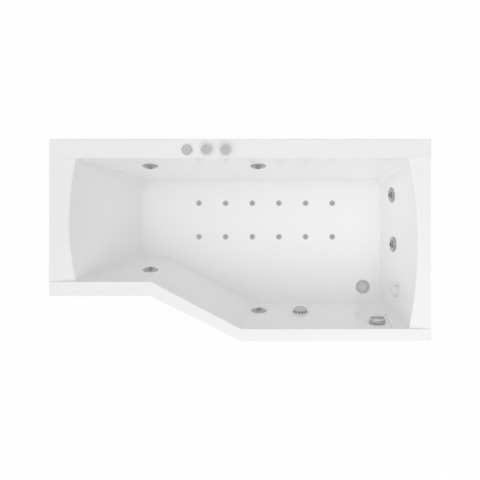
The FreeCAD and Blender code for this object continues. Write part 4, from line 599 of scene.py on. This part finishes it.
# %% shell
LEVEL_LIMIT = 0.05
LIFT = 0.2 * MILLIMETRE
VIEW_SPOTS = ((-0.4, 0.1), (0.1, 0.05), (0.55, 0.0))
VIEW_LEVELS = (0.25, 0.42, 0.7)
VIEW_PLACES = [Vector((x, y, z)) for x, y in VIEW_SPOTS for z in VIEW_LEVELS]
shell = dress("tub_shell", ACRYLIC, FIBREGLASS)
whole = BVHTree.FromPolygons([vertex.co for vertex in shell.data.vertices],
                             [face.vertices for face in shell.data.polygons])


def in_view(face):
    """True if a straight line from the face reaches one of the places in the basin."""
    start = face.center + face.normal * LIFT
    for place in VIEW_PLACES:
        way = place - start
        if way.dot(face.normal) > 0 and whole.ray_cast(start, way.normalized(), way.length)[0] is None:
            return True
    return False


wet = 0
for face in shell.data.polygons:
    outward = face.normal.x * face.center.x + face.normal.y * face.center.y > 0
    lip = abs(face.normal.z) <= LEVEL_LIMIT and outward
    is_wet = face.normal.z > LEVEL_LIMIT or lip or in_view(face)
    face.material_index = 0 if is_wet else 1
    wet += is_wet
print("shell:", wet, "wet faces of", len(shell.data.polygons))

# %% [markdown]
# ## The other pieces
# Every other piece is one material throughout. The record already names each piece's material, so a
# table from those names to finishes dresses them all. A second table says how each chrome piece is
# plated: deck controls are satin rather than mirror bright, because hands leave marks on polish. The
# same table gives the wall jets and their balls the darker chrome copies, which are painted shade.

# %% the other pieces
FINISHES = {
    "acrylic": ACRYLIC, "chrome": CHROME, "lens": LENS, "rubber": RUBBER, "board": BOARD,
    "white_plastic": WHITE_PLASTIC, "black_plastic": BLACK_PLASTIC, "box_grey": BOX_PLASTIC,
    "pipe": PIPE_PLASTIC, "galvanised_steel": ZINC, "motor": MOTOR, "rotor_steel": STEEL,
}
PLATING_AND_PAINTED_SHADE = {
    # painted shade: jet rosettes and jet nozzles get the darker chrome copies
    "push_button": SATIN, "air_knob": SATIN, "button_bezel": SATIN, "jet_rosette": JET_CHROME_PAINTED_SHADE,
    "jet_nozzle": BALL_CHROME_PAINTED_SHADE, "floor_jet_caps": CAP_CHROME, "drain_flange": CAP_CHROME,
    "suction_cover": CAP_CHROME, "overflow_knob": CAP_CHROME,
}


def finish_of(node):
    """The plating or painted shade for the start of a piece's name, or else the finish of its material."""
    for start, finish in PLATING_AND_PAINTED_SHADE.items():
        if node.startswith(start):
            return finish
    return FINISHES[slots[node]]


others = [node for node in sorted(nodes) if node != "tub_shell"]
for node in others:
    dress(node, finish_of(node))
print("dressed", len(others), "pieces beside the shell")

# %% [markdown]
# ## Recipes for what repeats
# Screws, threads, the dark discs of painted shade and weld beads repeat one small shape, so each is a
# Geometry Nodes tree: it takes loose points, puts a shape on each, makes the copies real and gives
# them their finish. The points are read off the imported solids, so they follow the model if it changes.


# %% recipes
class Recipe(Graph):
    """A geometry tree with named sizes that turns loose points into one plain mesh."""

    def __init__(self, name, *sizes):
        super().__init__(bpy.data.node_groups.new(name, "GeometryNodeTree"))
        panel = self.tree.interface
        panel.new_socket("Geometry", in_out="OUTPUT", socket_type="NodeSocketGeometry")
        panel.new_socket("Geometry", in_out="INPUT", socket_type="NodeSocketGeometry")
        self.keys = {}
        for label, kind in {**dict.fromkeys(sizes, "Float"), "Material": "Material"}.items():
            made = panel.new_socket(label, in_out="INPUT", socket_type=f"NodeSocket{kind}")
            self.keys[label] = made.identifier

    def given(self, label):
        return self.node("NodeGroupInput", output=label)

    def moved(self, geometry, rise):
        upward = self.node("ShaderNodeCombineXYZ", None, {"Z": rise})
        return self.node("GeometryNodeTransform", None, {"Geometry": geometry, "Translation": upward})

    def random(self, low, high, seed):
        sockets = {"Min_001": low, "Max_001": high, "Seed": seed}
        return self.node("FunctionNodeRandomValue", {"data_type": "FLOAT"}, sockets, "Value_001")

    def serve(self, shape, **more):
        """Puts the shape on each given point, makes the copies real and gives them their finish."""
        sockets = {"Points": self.given("Geometry"), "Instance": shape, **more}
        copies = self.node("GeometryNodeInstanceOnPoints", None, sockets)
        real = self.node("GeometryNodeRealizeInstances", None, {"Geometry": copies})
        sockets = {"Geometry": real, "Material": self.given("Material")}
        self.node("NodeGroupOutput", None, {"Geometry": self.node("GeometryNodeSetMaterial", None, sockets)})

    def make(self, name, places, values, aims=None):
        points = bpy.data.meshes.new(f"{name}_points")
        points.from_pydata(places, [], [])
        aim = points.attributes.new("aim", "FLOAT_VECTOR", "POINT")
        for entry, way in zip(aim.data, aims or []):
            entry.vector = way
        holder = bpy.data.objects.new(f"{name}_holder", points)
        modifier = holder.modifiers.new("recipe", "NODES")
        modifier.node_group = self.tree
        for label, value in values.items():
            modifier[self.keys[label]] = value
        return plain_mesh(holder, modifier)


# %% boxes of the solids
def solid_boxes(node):
    """Lowest and highest corner of each separate solid of a node, in the order of the lowest corners."""
    work = bmesh.new()
    work.from_mesh(nodes[node].data)
    bmesh.ops.remove_doubles(work, verts=work.verts, dist=WELD)
    unseen = set(work.verts)
    boxes = []
    while unseen:
        front = [unseen.pop()]
        reached = []
        while front:
            vertex = front.pop()
            reached.append(vertex.co.copy())
            for edge in vertex.link_edges:
                other = edge.other_vert(vertex)
                if other in unseen:
                    unseen.remove(other)
                    front.append(other)
        lows = Vector([min(point[axis] for point in reached) for axis in range(3)])
        highs = Vector([max(point[axis] for point in reached) for axis in range(3)])
        boxes.append((lows, highs))
    work.free()
    return sorted(boxes, key=lambda box: tuple(box[0]))


caps = solid_boxes("floor_jet_caps")
rails = solid_boxes("long_rails")
cross_rails = solid_boxes("cross_rails")
print(len(caps), "caps,", len(rails), "long rails,", len(cross_rails), "cross rails")

# %% [markdown]
# ## Screws
# The lid of the control box, the flange of the blower, the pump's cover and the plate are held by
# flanged hexagon screws. One head is three cones stacked: a washer that thins outwards, a six-sided
# prism and its chamfer. Each copy stands along its point's own direction and is turned at random, as
# screws come to rest.

# %% screw head
SCREW_SEED = 7
SCREW_HEAD = 4.2 * MILLIMETRE
SCREW_HEIGHT = 3.6 * MILLIMETRE
WASHER_SIDES = 28
WASHER_TOP_SHARE = 0.86
WASHER_HEIGHT_SHARE = 0.28
PRISM_SIDES = 6
PRISM_SHARE = 0.66
PRISM_HEIGHT_SHARE = 0.56
CHAMFER_SHARE = 0.54
CHAMFER_HEIGHT_SHARE = 0.16
UPWARDS = Vector((0, 0, 1))
FORWARDS = Vector((0, -1, 0))


def screw_recipe():
    recipe = Recipe("flanged_screws", "Head", "Height")
    head = recipe.given("Head")
    height = recipe.given("Height")

    def cone(sides, low_share, high_share, height_share):
        sockets = {"Vertices": sides, "Radius Bottom": head * low_share, "Radius Top": head * high_share,
                   "Depth": height * height_share}
        return recipe.node("GeometryNodeMeshCone", None, sockets, "Mesh")

    washer = cone(WASHER_SIDES, 1.0, WASHER_TOP_SHARE, WASHER_HEIGHT_SHARE)
    prism = recipe.moved(cone(PRISM_SIDES, PRISM_SHARE, PRISM_SHARE, PRISM_HEIGHT_SHARE),
                         height * WASHER_HEIGHT_SHARE)
    chamfer = recipe.moved(cone(PRISM_SIDES, PRISM_SHARE, CHAMFER_SHARE, CHAMFER_HEIGHT_SHARE),
                           height * (WASHER_HEIGHT_SHARE + PRISM_HEIGHT_SHARE))
    shape = recipe.node("GeometryNodeJoinGeometry", None, {"Geometry": [washer, prism, chamfer]})
    way = recipe.node("GeometryNodeInputNamedAttribute", {"data_type": "FLOAT_VECTOR"}, {"Name": "aim"},
                      "Attribute")
    stand = recipe.node("FunctionNodeAlignRotationToVector", {"axis": "Z"}, {"Vector": way})
    turn = recipe.random(0.0, math.tau, SCREW_SEED)
    spin = recipe.node("FunctionNodeAxisAngleToRotation", None, {"Axis": tuple(UPWARDS), "Angle": turn})
    rotation = recipe.node("FunctionNodeRotateRotation", {"rotation_space": "LOCAL"},
                           {"Rotation": stand, "Rotate By": spin})
    recipe.serve(shape, Rotation=rotation)
    return recipe


flanged_screw = screw_recipe()
print("one screw head takes", len(flanged_screw.tree.nodes), "nodes")

# %% screw places
LID_MARGIN = 9.0 * MILLIMETRE
BLOWER_FLANGE = 74.0 * MILLIMETRE
BLOWER_FLANGE_HEIGHT = 5.0 * MILLIMETRE
BLOWER_SCREW_CIRCLE = 70.0 * MILLIMETRE
BLOWER_SCREWS = 6
VOLUTE = 70.0 * MILLIMETRE
VOLUTE_SOCKET = 28.0 * MILLIMETRE
VOLUTE_SCREW_CIRCLE = 62.0 * MILLIMETRE
VOLUTE_SCREWS = 8
PLATE_MARGIN = 14.0 * MILLIMETRE


def ring(count, radius):
    steps = [math.tau * (step + 0.5) / count for step in range(count)]
    return [(radius * math.cos(angle), radius * math.sin(angle)) for angle in steps]


stands = []
low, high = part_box("control_box_lid")
for x in (low.x + LID_MARGIN, high.x - LID_MARGIN):
    for z in (low.z + LID_MARGIN, high.z - LID_MARGIN):
        stands.append((Vector((x, low.y, z)), FORWARDS))
low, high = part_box("blower_housing")
blower = low + Vector((BLOWER_FLANGE, BLOWER_FLANGE, BLOWER_FLANGE_HEIGHT))
for x, y in ring(BLOWER_SCREWS, BLOWER_SCREW_CIRCLE):
    stands.append((blower + Vector((x, y, 0)), UPWARDS))
low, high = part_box("pump_volute")
volute = low + Vector((VOLUTE, VOLUTE_SOCKET, VOLUTE))
for x, z in ring(VOLUTE_SCREWS, VOLUTE_SCREW_CIRCLE):
    stands.append((volute + Vector((x, 0, z)), FORWARDS))
low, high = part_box("equipment_plate")
for rail_low, rail_high in rails:
    for x in (low.x + PLATE_MARGIN, high.x - PLATE_MARGIN):
        stands.append((Vector((x, (rail_low.y + rail_high.y) / 2, high.z)), UPWARDS))
places, aims = zip(*stands)
screw_values = {"Head": SCREW_HEAD, "Height": SCREW_HEIGHT, "Material": ZINC}
screws = flanged_screw.make("screws", places, screw_values, aims)
show("screws", screws, "bath")
print(len(places), "screws,", len(screws.polygons), "faces")

# %% [markdown]
# ## Threads on the feet
# Each foot stands on a threaded stem that turns in its lock nut. A thread is a ridge on a helix: a
# Spiral curve with a three-sided profile swept along it. The stem inside it is thinned to the root of
# the thread, so the crest keeps the size of the plain stem and runs clear in the nut.

# %% threads
STEM = 6.0 * MILLIMETRE
STEM_ALLOWANCE = 0.1 * MILLIMETRE
THREAD_ROOT = 5.2 * MILLIMETRE
THREAD_LINE = 5.25 * MILLIMETRE
THREAD_RIDGE = 0.7 * MILLIMETRE
THREAD_PITCH = 1.75 * MILLIMETRE
THREAD_STEPS = 20
PAD_HEIGHT = 20.0 * MILLIMETRE
THREAD_CLEAR = 1.0 * MILLIMETRE


def thread_recipe():
    recipe = Recipe("thread", "Line", "Ridge", "Turns", "Rise")
    line = recipe.given("Line")
    sockets = {"Resolution": THREAD_STEPS, "Rotations": recipe.given("Turns"), "Start Radius": line,
               "End Radius": line, "Height": recipe.given("Rise")}
    helix = recipe.node("GeometryNodeCurveSpiral", None, sockets)
    level = recipe.node("GeometryNodeSetCurveNormal", {"mode": "Z_UP"}, {"Curve": helix})
    outward = recipe.node("GeometryNodeSetCurveTilt", None, {"Curve": level, "Tilt": math.pi})
    profile = recipe.node("GeometryNodeCurvePrimitiveCircle", {"mode": "RADIUS"},
                          {"Resolution": 3, "Radius": recipe.given("Ridge")})
    sockets = {"Curve": outward, "Profile Curve": profile, "Fill Caps": True}
    recipe.serve(recipe.node("GeometryNodeCurveToMesh", None, sockets))
    return recipe


def thin_stem(mesh, axis, bottom):
    """Draws the stem's wall in to the root of the thread."""
    for vertex in mesh.vertices:
        out = vertex.co.xy - axis.xy
        if vertex.co.z > bottom - STEM_ALLOWANCE and abs(out.length - STEM) < STEM_ALLOWANCE:
            vertex.co.xy = axis.xy + out * (THREAD_ROOT / STEM)


thread = thread_recipe()
feet = [node for node in sorted(nodes) if node.startswith("levelling_foot")]
for node in feet:
    low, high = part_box(node)
    axis = (low + high) / 2
    rise = high.z - low.z - PAD_HEIGHT - 2 * THREAD_CLEAR
    start = Vector((axis.x, axis.y, low.z + PAD_HEIGHT + THREAD_CLEAR))
    values = {"Line": THREAD_LINE, "Ridge": THREAD_RIDGE, "Turns": rise / THREAD_PITCH, "Rise": rise,
              "Material": ZINC}
    mesh = thread.make(f"{node}_thread", [start], values)
    thin_stem(bpy.data.objects[f"{node}_shown"].data, axis, low.z + PAD_HEIGHT)
    crest = max((vertex.co.xy - axis.xy).length for vertex in mesh.vertices)
    show(f"{node}_thread", mesh, body_of[node])
print(len(feet), "threads, crest", round(crest / MILLIMETRE, 2), "mm")

# %% [markdown]
# ## Painted shade in the floor jets
# A small dark disc in the black rubber finish sits in the dimple of each floor jet cap, copied to the
# twelve caps. It is painted shade for the hole in the middle of the cap. From above it is about one
# point of the picture, and it gives the caps their darker middle.

# %% painted shade in the floor jets
SHADE_DISC = 2.4 * MILLIMETRE
SHADE_DISC_HEIGHT = 0.5 * MILLIMETRE
SHADE_DISC_SUNK = 0.45 * MILLIMETRE
SHADE_DISC_SIDES = 24


def shade_disc_recipe():
    recipe = Recipe("air_valves", "Radius", "Height")
    sockets = {"Vertices": SHADE_DISC_SIDES, "Radius": recipe.given("Radius"), "Depth": recipe.given("Height")}
    recipe.serve(recipe.node("GeometryNodeMeshCylinder", None, sockets, "Mesh"))
    return recipe


places = []
for low, high in caps:
    middle = (low + high) / 2
    places.append(Vector((middle.x, middle.y, high.z - SHADE_DISC_SUNK - SHADE_DISC_HEIGHT / 2)))
# painted shade: a dark disc in the middle of each floor jet cap
shade_disc_values = {"Radius": SHADE_DISC, "Height": SHADE_DISC_HEIGHT, "Material": RUBBER}
shade_discs = shade_disc_recipe().make("shade_discs", places, shade_disc_values)
show("floor_jet_painted_shade", shade_discs, "bath")
print(len(places), "valves,", len(shade_discs.polygons), "faces")

# %% [markdown]
# ## Weld beads
# The long rails are welded to the cross rails along both of their lower edges. A bead is a row of
# drops that froze one on another, so it is a Mesh Line with a small ball on each point, and a fixed
# seed makes the balls a little unequal.

# %% weld beads
BEAD_SEED = 11
BEAD = 1.6 * MILLIMETRE
BEAD_DROPS = 18
BEAD_SEGMENTS = 10
BEAD_RINGS = 6
BEAD_END = 3.0 * MILLIMETRE
BEAD_UNEVEN_SHARES = (0.85, 1.1)


def bead_recipe():
    recipe = Recipe("weld_beads", "Drop", "Length")
    step = recipe.node("ShaderNodeCombineXYZ", None, {"X": recipe.given("Length") / (BEAD_DROPS - 1)})
    row = recipe.node("GeometryNodeMeshLine", None, {"Count": BEAD_DROPS, "Offset": step})
    sockets = {"Segments": BEAD_SEGMENTS, "Rings": BEAD_RINGS, "Radius": recipe.given("Drop")}
    drop = recipe.node("GeometryNodeMeshUVSphere", None, sockets, "Mesh")
    small, large = BEAD_UNEVEN_SHARES
    sockets = {"Points": row, "Instance": drop, "Scale": recipe.random(small, large, BEAD_SEED)}
    recipe.serve(recipe.node("GeometryNodeInstanceOnPoints", None, sockets))
    return recipe


places = []
for cross_low, cross_high in cross_rails:
    for low, high in rails:
        for y in (low.y, high.y):
            places.append(Vector((cross_low.x + BEAD_END, y, low.z)))
bead_length = min(high.x - low.x for low, high in cross_rails) - 2 * BEAD_END
bead_values = {"Drop": BEAD, "Length": bead_length, "Material": ZINC}
beads = bead_recipe().make("beads", places, bead_values)
show("weld_beads", beads, "bath")
print(len(places), "beads,", round(bead_length / MILLIMETRE, 1), "mm long, at", round(rails[0][0].z, 3), "m")
